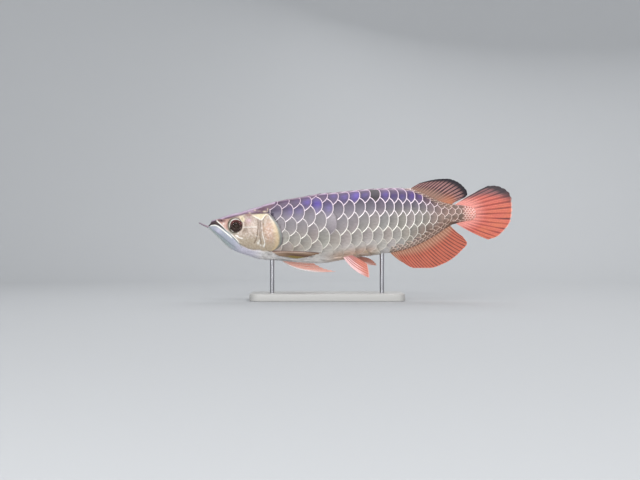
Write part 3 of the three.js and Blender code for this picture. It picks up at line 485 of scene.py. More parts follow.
EYE_CREAM = [(-139.2, 128.6), (-134.4, 128), (-133.4, 133.2), (-137.6, 137.8), (-143.4, 137)]
# Painted spots: colour, middle, half widths along and up, sharpness of the edge, strength.
FACE_SPOTS = [
    (CHEEK_SHADE * 0.8, (-133.5, 113.6), (7, 3.6), 1, 0.6), (LIP, (-168.4, 124.9), (1.5, 1.6), 1, 0.8),
    (NOSTRIL_DARK, (-172.4, 130.3), (6.6, 3.1), 1.6, 0.95), (SNOUT_PINK, (-170, 131.6), (1.5, 1), 1, 0.6),
    # The green-grey spot under the eye is a painted shadow.
    (GREEN_GREY, (-156.5, 110.5), (9, 4.5), 1, 0.6), (LIP, (-144.6, 109.4), (1.5, 0.9), 1, 0.9),
    (LIP, (-145.4, 105), (1.8, 1.4), 1, 0.8), (PINK_BROWN * 0.8, (-128.6, 128.6), (7.2, 7.2), 2, 0.4),
    (LILAC, (-127.4, 130.6), (4.4, 4.4), 1, 0.25), (LILAC * 1.1, (-126.2, 131), (1.8, 1.2), 1, 0.4),
    (BROWN_SPOT, (-127.6, 139), (4.4, 2.2), 1.4, 0.8),
]
PLATE_SPOTS = [
    (PINK_BROWN, (-104.6, 122), (3.2, 8), 1.4, 0.4), (LIP, (-111.8, 93.6), (2, 2.4), 1, 0.7),
    (LIP, (-109.6, 97.2), (1.3, 1.56), 1, 0.7), (LIP, (-102.8, 89), (1.7, 2.04), 1, 0.7),
    (LIP, (-114.3, 104.8), (1.2, 1.44), 1, 0.7), (LIP, (-107.6, 90), (1.2, 1.44), 1, 0.7),
    (LIP, (-106.8, 117.4), (1.3, 1.6), 1, 0.7),
]
NAPE_SPOTS = [
    (CREAM * 1.1, (-101.2, 144.3), (3.2, 1.1), 1, 0.75), (CREAM * 1.1, (-96.4, 147.8), (0.8, 1.7), 1, 0.8),
    (CREAM * 1.1, (-110.2, 145.4), (2.6, 0.7), 1, 0.35), (CREAM * 1.1, (-117.6, 146.9), (1.6, 1), 1, 0.8),
    (CREAM * 1.1, (-126, 142.6), (1.8, 1), 1, 0.6), (CREAM * 1.1, (-120.2, 137.7), (1.4, 0.9), 1, 0.8),
]
# Painted streaks: colour, line, rise over the line, half width, strength, fading share.
FACE_STREAKS = [
    (OLIVE, [(-139, 135), (-137.4, 131.4), (-136.6, 128)], 0, 1.2, 0.7, 0.12),
    (CHEEK_SHADE * 0.7, CHEEK_REAR_LINE, 0, 1, 0.75, 0.12),
    (CHEEK_SHADE * 0.6, PLATE_GROOVE_LINE, 0, 1, 0.75, 0.12), (LIP, CHEEK_FOLD_LINE, 0, 0.85, 0.75, 0.12),
    (CHEEK_SHADE * 0.75, [(-145.6, 106.6), (-142, 104.6), (-138.6, 104.2)], 0, 0.8, 0.6, 0.12),
    (LIP, CHEEK_JOINT_LINE, 0.6, 0.7, 0.6, 0.12),
    (CHEEK_SHADE * 0.8, CHEEK_JOINT_LINE, -0.9, 0.7, 0.45, 0.12),
    (LIP, CREAM_PLATE[:2], 0, 0.9, 0.8, 0.05), (LIP, [CREAM_PLATE[3], CREAM_PLATE[0]], 0, 0.8, 0.7, 0.05),
]


def painted(paint, colour, mask):
    """Lays a colour over the paint, or over one colour, as strongly as the mask says."""
    return paint + np.asarray(mask)[..., None] * (colour - paint)


def patch(x, z, centre, reach, power=2.0):
    """1 inside an oval of the side view and 0 outside it, softer at a low power."""
    return np.exp(-(((x - centre[0]) / reach[0]) ** 2 + ((z - centre[1]) / reach[1]) ** 2) ** power)


def streak(line, x, z, width, strength, fade=0.12):
    """Strength of a painted line, fading at its ends."""
    return np.clip(ridge(line, x, z, width, strength, fade), 0, 1)


def layered(paint, *layers):
    """The paint with colours laid over it in turn, each with its mask."""
    for colour, mask in layers:
        paint = painted(paint, colour, mask)
    return paint


def with_spots(paint, x, z, spots):
    """The paint with the spots of a table laid over it in turn."""
    for colour, middle, half_widths, power, strength in spots:
        paint = painted(paint, colour, patch(x, z, middle, half_widths, power) * strength)
    return paint


def with_streaks(paint, x, z, streaks):
    """The paint with the streaks of a table laid over it in turn."""
    for colour, line, rise, width, strength, fade in streaks:
        paint = painted(paint, colour, streak(line, x, z - rise, width, strength, fade))
    return paint


def tone_ramp(ramp, share):
    """Colours between the named tones of a ramp, by straight lines in linear light."""
    places = [place for place, _ in ramp]
    colours = np.array([tone(*colour) for _, colour in ramp])
    return np.stack([np.interp(share, places, colours[:, k]) for k in range(3)], -1)


def flank_paint(x, g):
    """Colour of the flank, of its scales as of the skin under them, by the place along
    and the share round: mauve back with a painted highlight beside its middle row, violet
    grey upper flank, taupe middle and silver belly, browner to the tail and coral at its root."""
    g = np.clip(np.where(g < 0, -g, np.where(g > 1, 2 - g, g)), 0, 1)
    paint = tone_ramp(FLANK_TONES, g)
    paint = painted(paint, UPPER_GREY, 0.74 * bell(g, 0.4, 0.12) * soft_step(80, -10, x))
    darker = 0.17 * bell(g, 0.4, 0.09) * soft_step(80, 50, x) + 0.3 * bell(g, 0.25, 0.07) * bell(x, 60, 26)
    darker = darker + 0.25 * bell(g, 0.12, 0.05) * soft_step(-20, 10, x) * soft_step(80, 50, x)
    darker = darker - 0.25 * bell(g, 0.3, 0.12) * bell(x, 152, 14)
    paint = paint * (1 - darker[..., None])
    on_keel = soft_step(0.55, 0.8, g) * soft_step(115, 160, x) * soft_step(235, 210, x)
    warm_band = soft_step(0.16, 0.04, np.abs(g - 0.93)) * soft_step(-12, 24, x) * soft_step(92, 64, x)
    paint = layered(
        paint, (REAR_GREY, 0.6 * soft_step(60, 140, x) * soft_step(0.3, 0.45, g)),
        (TAIL_BROWN, 0.85 * soft_step(135, 205, x)), (KEEL_BROWN, 0.55 * on_keel),
        (BELLY_SILVER, soft_step(0.76, 0.88, g) * soft_step(30, -40, x)), (BELLY_WARM, 0.6 * warm_band),
        (CREASE, streak(BELLY_CREASE, x, body_point(x, g)[..., 2], 0.9, 0.5, 0.2)))
    return painted(paint, TAIL_CORAL, 0.9 * soft_step(216, 238, x))


def in_outline(x, z, corners, soft):
    """1 inside a convex outline of the side view, corners anticlockwise, 0 outside."""
    mask = np.ones(np.shape(x))
    for (ax, az), (bx, bz) in zip(corners, corners[1:] + corners[:1]):
        length = np.hypot(bx - ax, bz - az)
        mask = mask * soft_step(-soft, soft, ((z - az) * (bx - ax) - (x - ax) * (bz - az)) / length)
    return mask


def head_paint(x, z, out):
    """Colour of the head's skin: cream cheeks, mauve crown, bluish jaw with a white lip,
    and the dark and pink places of the snout, each within soft lines of the side view."""
    mouth, _, mouth_passed = line_reach(MOUTH_LINE, x, z)
    over_mouth = z - smooth_curve(MOUTH_LINE, x)
    under_crown = smooth_curve(CROWN_LINE, x) - z
    under_back = back_height(x) - z
    in_crown = soft_step(0.9, -0.9, under_crown)
    in_jaw = (over_mouth < 0) & (x < MOUTH_LINE[-1][0])

    # Cheek: mottled cream, pink to the snout, with its spots, pale corners and joints.
    mottle = 0.5 * blotches(x, z, 0.42) + 0.4 * blotches(x + 3, z, 1.1) * blotches(x, z + 2, 2.3)
    flecks = blotches(x + 7, z + 1, 0.85) * blotches(x, z, 1.9) * soft_step(-146, -138, x)
    uneven = 0.45 + 0.55 * soft_step(94, 108, z)
    paint = layered(
        CHEEK, (CHEEK_LOW, 0.8 * soft_step(114, 96, z)),
        (CHEEK_SHADE, np.clip(1.1 * mottle - 0.15, 0, 1) * uneven), (LIP, 0.4 * flecks * uneven))
    paint = paint * (1 - 0.16 * soft_step(120, 132, z))[..., None]
    paint = painted(paint, SNOUT_PINK, 0.9 * soft_step(-154, -164, x) * soft_step(138, 128, z))
    paint = with_spots(paint, x, z, FACE_SPOTS)
    paint = layered(
        paint, (CREAM, in_outline(x, z, EYE_CREAM, 0.7) * (0.6 + 0.3 * blotches(x, z, 1.3))),
        (CREAM, 0.95 * in_outline(x, z, CREAM_PLATE, 0.8)))
    paint = with_spots(paint, x, z, PLATE_SPOTS)
    paint = with_streaks(paint, x, z, FACE_STREAKS)
    lower_ridge = soft_step(0.35, 0.7, line_reach(PLATE_RIDGE_LINE, x, z)[2])
    paint = painted(paint, LIP, streak(PLATE_RIDGE_LINE, x, z, 0.85, 0.85) * (0.35 + 0.65 * lower_ridge))

    # Crown: mauve, dark along its lower edge and on the nape, with painted shade in the gap under its rear
    # edge and a painted highlight along the back.
    highlight_by_back = in_crown * soft_step(4.4, 1.8, under_back)
    by_middle = in_crown * soft_step(8.5, 3.5, out)
    on_nape = in_crown * soft_step(-122, -110, x) * soft_step(2.6, 4.6, under_back)
    paint = layered(
        paint, (CROWN, in_crown),
        (BROWN_SPOT, 0.15 * in_crown * blotches(x + 9, z, 0.33) * soft_step(-146, -132, x)),
        # Painted highlights: a pale patch on the crown's rear top and a pale band along the back.
        (CROWN_HIGHLIGHT, 0.3 * in_crown * patch(x, z, (-126, 144.5), (9, 3), 1)),
        (CROWN_DARK, 0.65 * in_crown * patch(x, z, (-151.5, 138.6), (6, 2.6), 1)),
        (CROWN_DARK, bell(under_crown, -0.4, 0.9) * (0.5 + 0.4 * blotches(x, z, 0.3))),
        (CROWN_HIGHLIGHT, highlight_by_back * (0.65 + 0.35 * blotches(x + 2, z, 0.4))),
        (CROWN_MIDDLE, by_middle * (0.6 + 0.35 * blotches(x, 2 * out, 0.4))),
        # Painted shade in the gap under the crown's rear lower edge.
        (GAP_SHADE, 0.9 * bell(under_crown, 0.2, 0.9) * soft_step(-126, -121, x)),
        (CROWN_DARK, 0.75 * on_nape), (CREAM, streak(NAPE_LINE, x, z, 0.9, 0.8)))
    paint = with_spots(paint, x, z, NAPE_SPOTS)

    # Throat, the bare strip between mouth and upper jaw, the dark tip of the snout, and a painted highlight
    # along the snout's top.
    in_throat = soft_step(-1.5, 2.5, smooth_curve(CHEEK_LOW_LINE, x) - z) * soft_step(-150, -142, x)
    under_jaw_line = soft_step(0.6, -0.6, z - smooth_curve(UPPER_JAW_LINE, x))
    in_strip = (over_mouth > 0) * under_jaw_line * soft_step(-140, -145, x)
    snout_highlight = soft_step(3.2, 1.6, under_back) * soft_step(-177, -182, x) * soft_step(-191, -187, x)
    paint = layered(
        paint, (painted(THROAT, BELLY_SILVER, soft_step(-128, -100, x)), in_throat),
        (GREEN_GREY * 1.2, 0.75 * in_strip),
        (MOUTH_BROWN_AND_SHADE * 1.5, 0.95 * in_strip * soft_step(-169, -174, x)),
        (SNOUT_DARK, 0.95 * soft_step(-180.6, -182.6, x) * soft_step(-0.3, 0.3, over_mouth)),
        (CROWN_HIGHLIGHT, 0.6 * snout_highlight))

    # Lower jaw: blue grey with painted highlights, greener under its groove, with the white lips over both
    # jaws and painted shade along the mouth.
    groove, groove_side, groove_passed = line_reach(JAW_GROOVE, x, z)
    under_groove = soft_step(0.2, 1.4, groove * groove_side) * in_jaw * soft_step(1, 0.7, groove_passed)
    upper_rear = soft_step(0.2, 0.36, line_reach(UPPER_JAW_LINE, x, z)[2])
    mouth_rear = soft_step(0.35, 0.6, mouth_passed)
    # Painted highlights on the jaw: a pale patch in its middle and a pale band along its lower side.
    jaw_paint = layered(
        JAW, (JAW_HIGHLIGHT, 0.9 * patch(x, z, (-177.5, 113), (5, 5), 1)),
        (JAW_HIGHLIGHT, 0.6 * bell(over_mouth, -22, 3.5)), (THROAT, soft_step(-160, -134, x)))
    paint = layered(
        paint, (jaw_paint, in_jaw), (JAW_UNDER, 0.75 * under_groove),
        (LIP * 0.85, 0.55 * under_groove * soft_step(3.2, 1.2, z - belly_height(x))),
        (JAW_LINE, streak(JAW_GROOVE, x, z, 1.1, 0.55) * in_jaw),
        (LIP, streak(UPPER_JAW_LINE, x, z, 0.85, 0.95, 0.08) * (1 - 0.6 * upper_rear)),
        (LIP * 0.95, streak(CORNER_LINE, x, z, 0.95, 0.85, 0.2)),
        (LIP, streak(LOWER_LIP_LINE, x, z, 1.05, 1.2, 0.1) * in_jaw),
        # Painted shade along the closed mouth: dark ahead, grey green farther back.
        (MOUTH_BROWN_AND_SHADE, 0.95 * bell(mouth, 0, 0.75) * (1 - mouth_rear)),
        (JAW_LINE, 0.6 * bell(mouth, 0, 0.8) * mouth_rear))

    # Painted shade in the nostrils, the dark orbit ahead of the eye, and painted shade under the gill cover's
    # edge.
    for place_x, place_z in NOSTRILS:
        paint = painted(paint, MOUTH_BROWN_AND_SHADE, bell(np.hypot(x - place_x, z - place_z), 0, 1.1))
    in_orbit = soft_step(1.2, 0, past_eye_rim(x, z)) * (out > 6)
    paint = painted(paint, SOCKET_DARK, in_orbit * (0.9 - 0.75 * behind_eye(x, z)))
    at_shoulder = soft_step(4.5, 2.5, shoulder_place(z) - x) * soft_step(84, 92, z) * soft_step(143, 139, z)
    return painted(paint, SHOULDER_SHADE, 0.9 * at_shoulder)


def set_paint(piece, paint, name="paint"):
    """Stores a linear colour for each point as an attribute."""
    colour = np.ones((len(piece.data.vertices), 4), np.float32)
    colour[:, :3] = np.clip(np.reshape(paint, (-1, 3)), 0, 1)
    piece.data.attributes.new(name, "FLOAT_COLOR", "POINT").data.foreach_set("color", colour.ravel())


def new_node(tree, kind, **values):
    """A new shader node of a kind, with inputs set by name."""
    node = tree.nodes.new("ShaderNode" + kind)
    set_inputs(node, **values)
    return node


def attribute_node(tree, name):
    """A node that reads a piece's attribute."""
    node = new_node(tree, "Attribute")
    node.attribute_name = name
    return node


def link_nodes(tree, *pairs):
    """Joins sockets two by two."""
    for start, end in pairs:
        tree.links.new(start, end)


def stretched_noise(tree, stretch=(1, 1, 1), **values):
    """Noise over the object's own coordinates, stretched."""
    place, mapping = new_node(tree, "TexCoord"), new_node(tree, "Mapping", Scale=stretch)
    noise = new_node(tree, "TexNoise", **values)
    link_nodes(
        tree, (place.outputs["Object"], mapping.inputs["Vector"]),
        (mapping.outputs["Vector"], noise.inputs["Vector"]))
    return noise.outputs["Fac"]


def raise_grain(tree, shader, noise, strength, depth):
    """Turns a noise into a faint grain of the surface, its depth in metres."""
    bump = new_node(tree, "Bump", Strength=strength, Distance=depth)
    link_nodes(tree, (noise, bump.inputs["Height"]), (bump.outputs["Normal"], shader.inputs["Normal"]))


def speckled(tree, colour, noise, speckle):
    """A colour made up to a share lighter and darker by a noise."""
    shades = new_node(tree, "MapRange", From_Min=0.3, From_Max=0.7, To_Min=1 - speckle, To_Max=1 + speckle)
    tint = new_node(tree, "VectorMath")
    tint.operation = "SCALE"
    link_nodes(
        tree, (noise, shades.inputs["Value"]), (colour, tint.inputs[0]),
        (shades.outputs["Result"], tint.inputs["Scale"]))
    return tint.outputs["Vector"]


def flesh_material(name, roughness, coat, metallic, speckle, grain_scale, grain_depth, specular=0.5):
    """Skin in its own paint, lightly speckled by fine noise, with a faint grain."""
    material, tree, shader = new_material(name)
    noise = stretched_noise(tree, Scale=grain_scale, Detail=4)
    paint = attribute_node(tree, "paint").outputs["Color"]
    link_nodes(tree, (speckled(tree, paint, noise, speckle), shader.inputs["Base Color"]))
    raise_grain(tree, shader, noise, 0.35, grain_depth)
    set_inputs(
        shader, Roughness=roughness, Metallic=metallic, Coat_Weight=coat, Coat_Roughness=0.2,
        Specular_IOR_Level=specular)
    return material


skin_paint = head_paint(ring_x, plain[..., 2], np.abs(skin_points[..., 1]))
# Under the scales the skin has the flank's colour, darkened as painted shade.
trunk_paint = flank_paint(ring_x, ring_g) * UNDER_SCALES
skin_paint = painted(skin_paint, trunk_paint, on_trunk(ring_x, plain[..., 2]))
set_paint(skin, np.concatenate([skin_paint.reshape(-1, 3), [JAW, TAIL_CORAL]]))

# The skin's own map for the baked finish: rings across, the girth up, cut on the back.
MAP_MARGIN = 0.01
skin_corner = np.empty(len(skin.data.loops), np.int32)
skin.data.loops.foreach_get("vertex_index", skin_corner)
corner_ring = np.minimum(skin_corner // SKIN_ROUND, ring_count - 1).astype(float)
corner_turn = (skin_corner % SKIN_ROUND).astype(float)
quad_corners = (ring_count - 1) * SKIN_ROUND * 4
quad_turn = corner_turn[:quad_corners].reshape(-1, 4)
quad_turn[(quad_turn.max(1) == SKIN_ROUND - 1)[:, None] & (quad_turn == 0)] = SKIN_ROUND
corner_turn[:quad_corners] = quad_turn.ravel()
skin_map = skin.data.uv_layers.new(name="OFBake")
skin_uv = np.stack([corner_ring / (ring_count - 1), corner_turn / SKIN_ROUND], -1)
skin_uv = MAP_MARGIN + (1 - 2 * MAP_MARGIN) * skin_uv
skin_map.data.foreach_set("uv", skin_uv.astype(np.float32).ravel())

skin.data.materials.append(flesh_material(
    "head_skin", roughness=0.38, coat=0.25, metallic=0.08, speckle=0.1, grain_scale=420, grain_depth=0.0004))
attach(skin, "root")
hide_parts("head", "lower_jaw", "trunk_front", "trunk_middle", "trunk_rear", "tail_stalk")


# Gill covers: a thin bony plate on each side, with a soft grey-blue margin along its
# rear edge. Each is rooted behind the cheek and stands a little proud of the shoulder.
COVER_FRONT = [
    (-98.6, 140.4), (-102.6, 136), (-106.4, 130.6), (-108, 124), (-108.5, 116), (-108.4, 106), (-107, 96),
    (-105, 88), (-100, 82.6), (-94, 79.8),
]
COVER_REAR = [
    (-97.4, 140.9), (-92.6, 138), (-87.2, 133.4), (-80.5, 126), (-75, 114.5), (-72.3, 102.5), (-73.2, 93),
    (-78.5, 85.8), (-86, 81.8), (-92, 79.6),
]
COVER_ROWS, BONE_COLUMNS, MARGIN_COLUMNS = 64, 26, 14
COVER_THICKNESS = 1.1
MARGIN_SHARE = 0.88
BONE, BONE_WARM, BONE_EDGE = tone(172, 147, 124), tone(178, 136, 113), tone(196, 174, 138)
BONE_LOW, SOFT_MARGIN, MARGIN_EDGE = tone(168, 152, 130), tone(117, 121, 116), tone(118, 118, 120)


def even_line(line, share):
    """Points of a smooth line through the given places at shares of its length."""
    line = np.array(line, float)
    steps = np.linalg.norm(np.diff(line, axis=0), axis=1)
    passed = np.concatenate([[0], steps.cumsum()]) / steps.sum()
    return np.stack([smooth_curve(np.stack([passed, part], -1), share) for part in line.T], -1)


def rim_walls(rows, columns):
    """Quads between the rims of two grids of one size, numbered one after the other."""
    number = np.arange(rows * columns).reshape(rows, columns)
    rim = np.concatenate([number[0, :-1], number[:-1, -1], number[-1, :0:-1], number[:0:-1, 0]])
    after = np.roll(rim, -1)
    return np.stack([rim, after, after + number.size, rim + number.size], -1)


cover_down = np.linspace(0, 1, COVER_ROWS)
cover_back = np.concatenate([np.linspace(0, 0.8, BONE_COLUMNS), np.linspace(0.8, 1, MARGIN_COLUMNS + 1)[1:]])
cover_front, cover_rear = even_line(COVER_FRONT, cover_down), even_line(COVER_REAR, cover_down)
cover_flat = cover_front[:, None] + (cover_rear - cover_front)[:, None] * cover_back[None, :, None]
cover_x, cover_z = cover_flat[..., 0], cover_flat[..., 1]
down, back = np.meshgrid(cover_down, cover_back, indexing="ij")
bone_rise = 0.2 + 1.5 * soft_step(0, 0.25, back) + 0.35 * np.sin(np.pi * back) * np.sin(np.pi * down)
bone_rise -= 0.55 * soft_step(MARGIN_SHARE - 0.015, MARGIN_SHARE + 0.015, back)
bone_rise -= 0.35 * soft_step(0.95, 1, back)
bone_rise += 0.07 * np.sin(46 * down + 6 * back) * soft_step(0.2, 0.5, back) * (back < MARGIN_SHARE)
bone_rise = bone_rise * (0.35 + 0.65 * soft_step(0, 0.06, down) * soft_step(0, 0.06, 1 - down))
cover_points = np.stack([
    side_point(cover_x, cover_z, bone_rise), side_point(cover_x, cover_z, bone_rise - COVER_THICKNESS)])
cover_quads = quad_grid(*down.shape)
cover_faces = np.concatenate([
    cover_quads, cover_quads[:, ::-1] + down.size, rim_walls(*down.shape)[:, ::-1]])

bone_flecks = blotches(cover_x, cover_z, 0.62) * blotches(cover_x + 5, cover_z, 1.3)
bone_shades = blotches(cover_x + 2, cover_z + 3, 0.9) * blotches(cover_x, cover_z + 5, 2.1)
cover_paint = layered(
    BONE, (BONE_WARM, 0.9 * patch(cover_x, cover_z, (-93.5, 114), (8.5, 17), 1.5)),
    (LIP * 0.95, 0.65 * bone_flecks), (CHEEK_SHADE, 0.6 * bone_shades))
cover_paint = cover_paint * (1 - 0.15 * soft_step(116, 130, cover_z))[..., None]
cover_paint = layered(
    cover_paint, (BONE_LOW, 0.85 * soft_step(100, 88, cover_z)),
    (BONE_EDGE, 0.85 * soft_step(0.55, 0.8, back) * soft_step(0.1, 0.35, down)),
    # Painted highlight: white along the cover's upper rear corner.
    (LIP, 0.5 * soft_step(0.36, 0.12, down) * soft_step(0.66, 0.8, back)),
    (CREAM, 0.8 * soft_step(0.1, 0.03, down)),
    (SOFT_MARGIN, soft_step(MARGIN_SHARE - 0.09, MARGIN_SHARE + 0.05, back)),
    (MARGIN_EDGE, 0.8 * soft_step(0.93, 0.99, back)))
cover_material = flesh_material(
    "gill_bone", roughness=0.4, coat=0.25, metallic=0.1, speckle=0.12, grain_scale=380, grain_depth=0.0003)
for side_name, side in (("left", 1), ("right", -1)):
    side_faces = cover_faces if side > 0 else cover_faces[:, ::-1]
    cover = new_piece(f"gill_cover_{side_name}_bone", cover_points * (1, side, 1), side_faces)
    set_paint(cover, np.stack([cover_paint, cover_paint]))
    cover.data.materials.append(cover_material)
    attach(cover, "root")
    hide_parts(f"gill_cover_{side_name}")


# Eyes: a dark iris dish with a raised pupil, a bony orbit ahead and a silvery crescent
# along its rim, and a clear cornea over it, set in the socket of the skin.
EYE_PROFILE = [
    (0, 17.2), (2, 17.15), (4, 16.9), (5.4, 16.45), (6.2, 16.55), (7.5, 16.85), (9.6, 17.05), (10.6, 17),
    (11.2, 16.9), (11.6, 17.15), (12.1, 17.05), (12.4, 16.4), (12.5, 15.4), (11.8, 12.5), (8, 9), (0, 8),
]
EYE_RINGS, EYE_STEPS, DOME_RINGS = 72, 64, 18
CORNEA_RADIUS, CORNEA_WALL = 11.7, 0.35
CORNEA_FOOT, CORNEA_RISE = 17.3, 3.6
DISC_PLACE = (-148.2, 121.6)
PUPIL, IRIS, IRIS_RED = tone(44, 32, 26), tone(64, 50, 46), tone(108, 56, 56)
SILVER, ORBIT = tone(226, 222, 214), tone(116, 110, 96)


def turned_piece(name, radius, out, side):
    """A profile of radii and distances from the middle plane, turned round the axis of
    one eye. Its ends, of no radius, close it. Returns the piece and its rings."""
    angle = np.linspace(0, 2 * np.pi, EYE_STEPS, endpoint=False)
    reach, level = radius[1:-1, None], np.repeat(side * out[1:-1, None], EYE_STEPS, 1)
    rings = np.stack([EYE_PLACE[0] + reach * np.cos(angle), level, EYE_PLACE[1] + reach * np.sin(angle)], -1)
    poles = [(EYE_PLACE[0], side * out[0], EYE_PLACE[1]), (EYE_PLACE[0], side * out[-1], EYE_PLACE[1])]
    faces = [quad_grid(len(rings), EYE_STEPS, closed=True), *cap_faces(len(rings), EYE_STEPS)]
    if side > 0:
        faces = [group[:, ::-1] for group in faces]
    return new_piece(name, np.concatenate([rings.reshape(-1, 3), poles]), *faces), rings


eye_radius, eye_out = even_line(EYE_PROFILE, np.linspace(0, 1, EYE_RINGS)).T
dome = np.linspace(0, 1, DOME_RINGS)
dome_out = CORNEA_FOOT + CORNEA_RISE * (1 - dome ** 2)
cornea_radius = np.concatenate([dome * CORNEA_RADIUS, dome[::-1] * (CORNEA_RADIUS - CORNEA_WALL)])
cornea_out = np.concatenate([dome_out, dome_out[::-1] - CORNEA_WALL])
iris_material = flesh_material(
    "eye_iris", roughness=0.7, coat=0, metallic=0, speckle=0.12, grain_scale=900, grain_depth=0.00002,
    specular=0.15)
cornea_material, _, cornea_shader = new_material("eye_cornea")
set_inputs(cornea_shader, Base_Color=(1, 1, 1, 1), Roughness=0.06, IOR=1.1, Transmission_Weight=1)
for side_name, side in (("left", -1), ("right", 1)):
    eye, eye_rings = turned_piece(f"eye_{side_name}_iris", eye_radius, eye_out, side)
    eye_x, eye_z = eye_rings[..., 0], eye_rings[..., 2]
    ring_turn = np.arctan2(eye_z - EYE_PLACE[1], eye_x - EYE_PLACE[0])
    disc = np.hypot(eye_x - DISC_PLACE[0], eye_z - DISC_PLACE[1])
    crescent_end = 10.9 + 0.9 * soft_step(0.6, 1, np.sin(ring_turn))
    crescent = soft_step(9.8, 10.2, disc) * soft_step(0.3, 0, disc - crescent_end)
    eye_paint = layered(
        PUPIL, (IRIS, soft_step(4.4, 6.6, disc)),
        (IRIS_RED, 0.8 * soft_step(5, 8.5, disc) * soft_step(-0.4, 0.9, np.sin(ring_turn))),
        (ORBIT, soft_step(10.4, 10.9, disc) * (1 - 0.85 * behind_eye(eye_x, eye_z))),
        (SILVER, crescent * soft_step(0.05, 0.5, np.cos(ring_turn - 2.1))),
        (SILVER, 0.8 * crescent * soft_step(0.95, 0.99, np.cos(ring_turn + 2.15))))
    set_paint(eye, np.concatenate([eye_paint.reshape(-1, 3), [PUPIL, PUPIL]]))
    eye.data.materials.append(iris_material)
    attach(eye, "root")
    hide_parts(f"eye_{side_name}")
    cornea, _ = turned_piece(f"eye_{side_name}_cornea", cornea_radius, cornea_out, side)
    cornea.data.materials.append(cornea_material)
    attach(cornea, "root")


# Barbels: two soft tapering feelers on the tip of the lower jaw, bent forward and up.
BARBEL_PATH = [
    (-191.5, 2.2, 118.6), (-197, 3.6, 120.8), (-202, 5.5, 122.9), (-206.5, 6.4, 125), (-210, 7, 126.8),
]
BARBEL_STEPS, BARBEL_SIDES = 60, 20
BARBEL_FLESH, BARBEL_TIP = tone(150, 132, 142), tone(116, 102, 114)


def tube_rings(path, radius, sides):
    """Rings square to a path: each point is the path's plus its radius round two
    directions square to the path."""
    ahead = np.gradient(path, axis=0)
    ahead /= np.linalg.norm(ahead, axis=1, keepdims=True)
    across = np.cross(ahead, (0, 0, 1.0))
    across /= np.linalg.norm(across, axis=1, keepdims=True)
    above = np.cross(across, ahead)
    angle = np.linspace(0, 2 * np.pi, sides, endpoint=False)
    return path[:, None] + radius[:, None, None] * (
        across[:, None] * np.cos(angle)[None, :, None] + above[:, None] * np.sin(angle)[None, :, None])


def capped_tube(name, rings):
    """A closed tube from its rings, with its two ends drawn to a point."""
    rows, sides = rings.shape[:2]
    return new_piece(
        name, np.concatenate([rings.reshape(-1, 3), [rings[0].mean(0), rings[-1].mean(0)]]),
        quad_grid(rows, sides, closed=True), *cap_faces(rows, sides))


barbel_share = np.linspace(0, 1, BARBEL_STEPS)
past_tip = np.maximum(barbel_share - 0.9, 0) / 0.1
barbel_radius = 1.75 - 0.85 * barbel_share ** 1.4 + 0.04 * np.sin(70 * barbel_share)
barbel_radius = barbel_radius * np.sqrt(np.clip(1 - past_tip ** 2, 0.02, 1))
barbel_paint = painted(BARBEL_FLESH, BARBEL_TIP, barbel_share)
barbel_material = flesh_material(
    "barbel_flesh", roughness=0.45, coat=0.2, metallic=0, speckle=0.12, grain_scale=900, grain_depth=0.0002)
for side_name, side in (("left", -1), ("right", 1)):
    barbel_path = even_line(BARBEL_PATH, barbel_share) * (1, side, 1)
    barbel = capped_tube(f"barbel_{side_name}_flesh", tube_rings(barbel_path, barbel_radius, BARBEL_SIDES))
    set_paint(barbel, np.concatenate([np.repeat(barbel_paint, BARBEL_SIDES, 0), [BARBEL_FLESH, BARBEL_TIP]]))
    barbel.data.materials.append(barbel_material)
    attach(barbel, "root")
    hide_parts(f"barbel_{side_name}")


# Scales: thin horny plates in a six-sided net, each rooted under the two ahead of it and
# free along its round rear edge, which carries a pale rim. A middle row rides the back
# and the belly, and small plates sheathe the roots of the dorsal and the anal fin.
SCALE_COLUMNS = [(-3, -132), (0, -73), (5, 16.5), (10, 101), (15, 168), (20, 224), (23, 246)]
MIDDLE_ROW = [
    (-75, 0.238), (-54, 0.256), (-36, 0.285), (-18, 0.345), (-1, 0.41), (16, 0.45), (35, 0.474), (70, 0.476),
    (101, 0.493), (130, 0.515), (160, 0.5), (175, 0.503), (193, 0.568), (207, 0.64), (218, 0.64), (240, 0.5),
]
ROW_PITCH = [(-60, 0.15), (0, 0.157), (60, 0.165), (150, 0.17), (194, 0.2), (210, 0.24), (240, 0.25)]
MIDDLE_ROW_NUMBER = 3
FRONT_OFFSETS = [(-6, -6.2), (-2, -2.08), (-1, -1.03), (0, 0.03), (1, 1.27), (2, 2.3), (3, 3.25), (8, 8)]
REAR_OFFSETS = [(-6, -6.2), (-2, -2.08), (-1, -1.03), (0, 0), (1, 1.2), (2, 1.93), (3, 2.6), (8, 6)]
FRONT_SHIFTS = [(-6, 4), (-2, 2.6), (-1, 2.8), (0, 0.4), (1, -3), (2, -6), (3, -9), (8, -22)]
REAR_SHIFTS = [(-6, 2), (-2, 0.8), (-1, 1.2), (0, 0.5), (1, -0.8), (2, -2), (3, -4), (8, -12)]
ROWS, COLUMNS = range(-3, 11), range(-3, 24)
PLATE_LENGTH, EDGE_DEPTH, EDGE_POWER = 2.05, 1.14, 2.5
PLATE_V = np.array([-0.95, -0.74, -0.56, -0.38, -0.19, 0, 0.19, 0.38, 0.56, 0.74, 0.95])
PLATE_S = np.array([0, 0.52, 0.68, 0.81, 0.93, 1.0])
PLATE_MIDDLE = len(PLATE_V) // 2 * len(PLATE_S) + 3
FULL_SPACING, FULL_PITCH = 17.0, 20.5
PLATE_RISE, PLATE_SINK, PLATE_WALL = 1.35, 0.35, 0.4
ROW_FOLLOW = 0.3
SHOULDER_COVER, LAST_EDGE = 2.5, 232
DORSAL_ROOT, ANAL_ROOT = (133, 201), (101.5, 199.5)
PALE_SCALE, DARK_SCALE = (3, 5), (1, 9)
BACK_SPREAD, BELLY_SPREAD = 0.34, 0.62
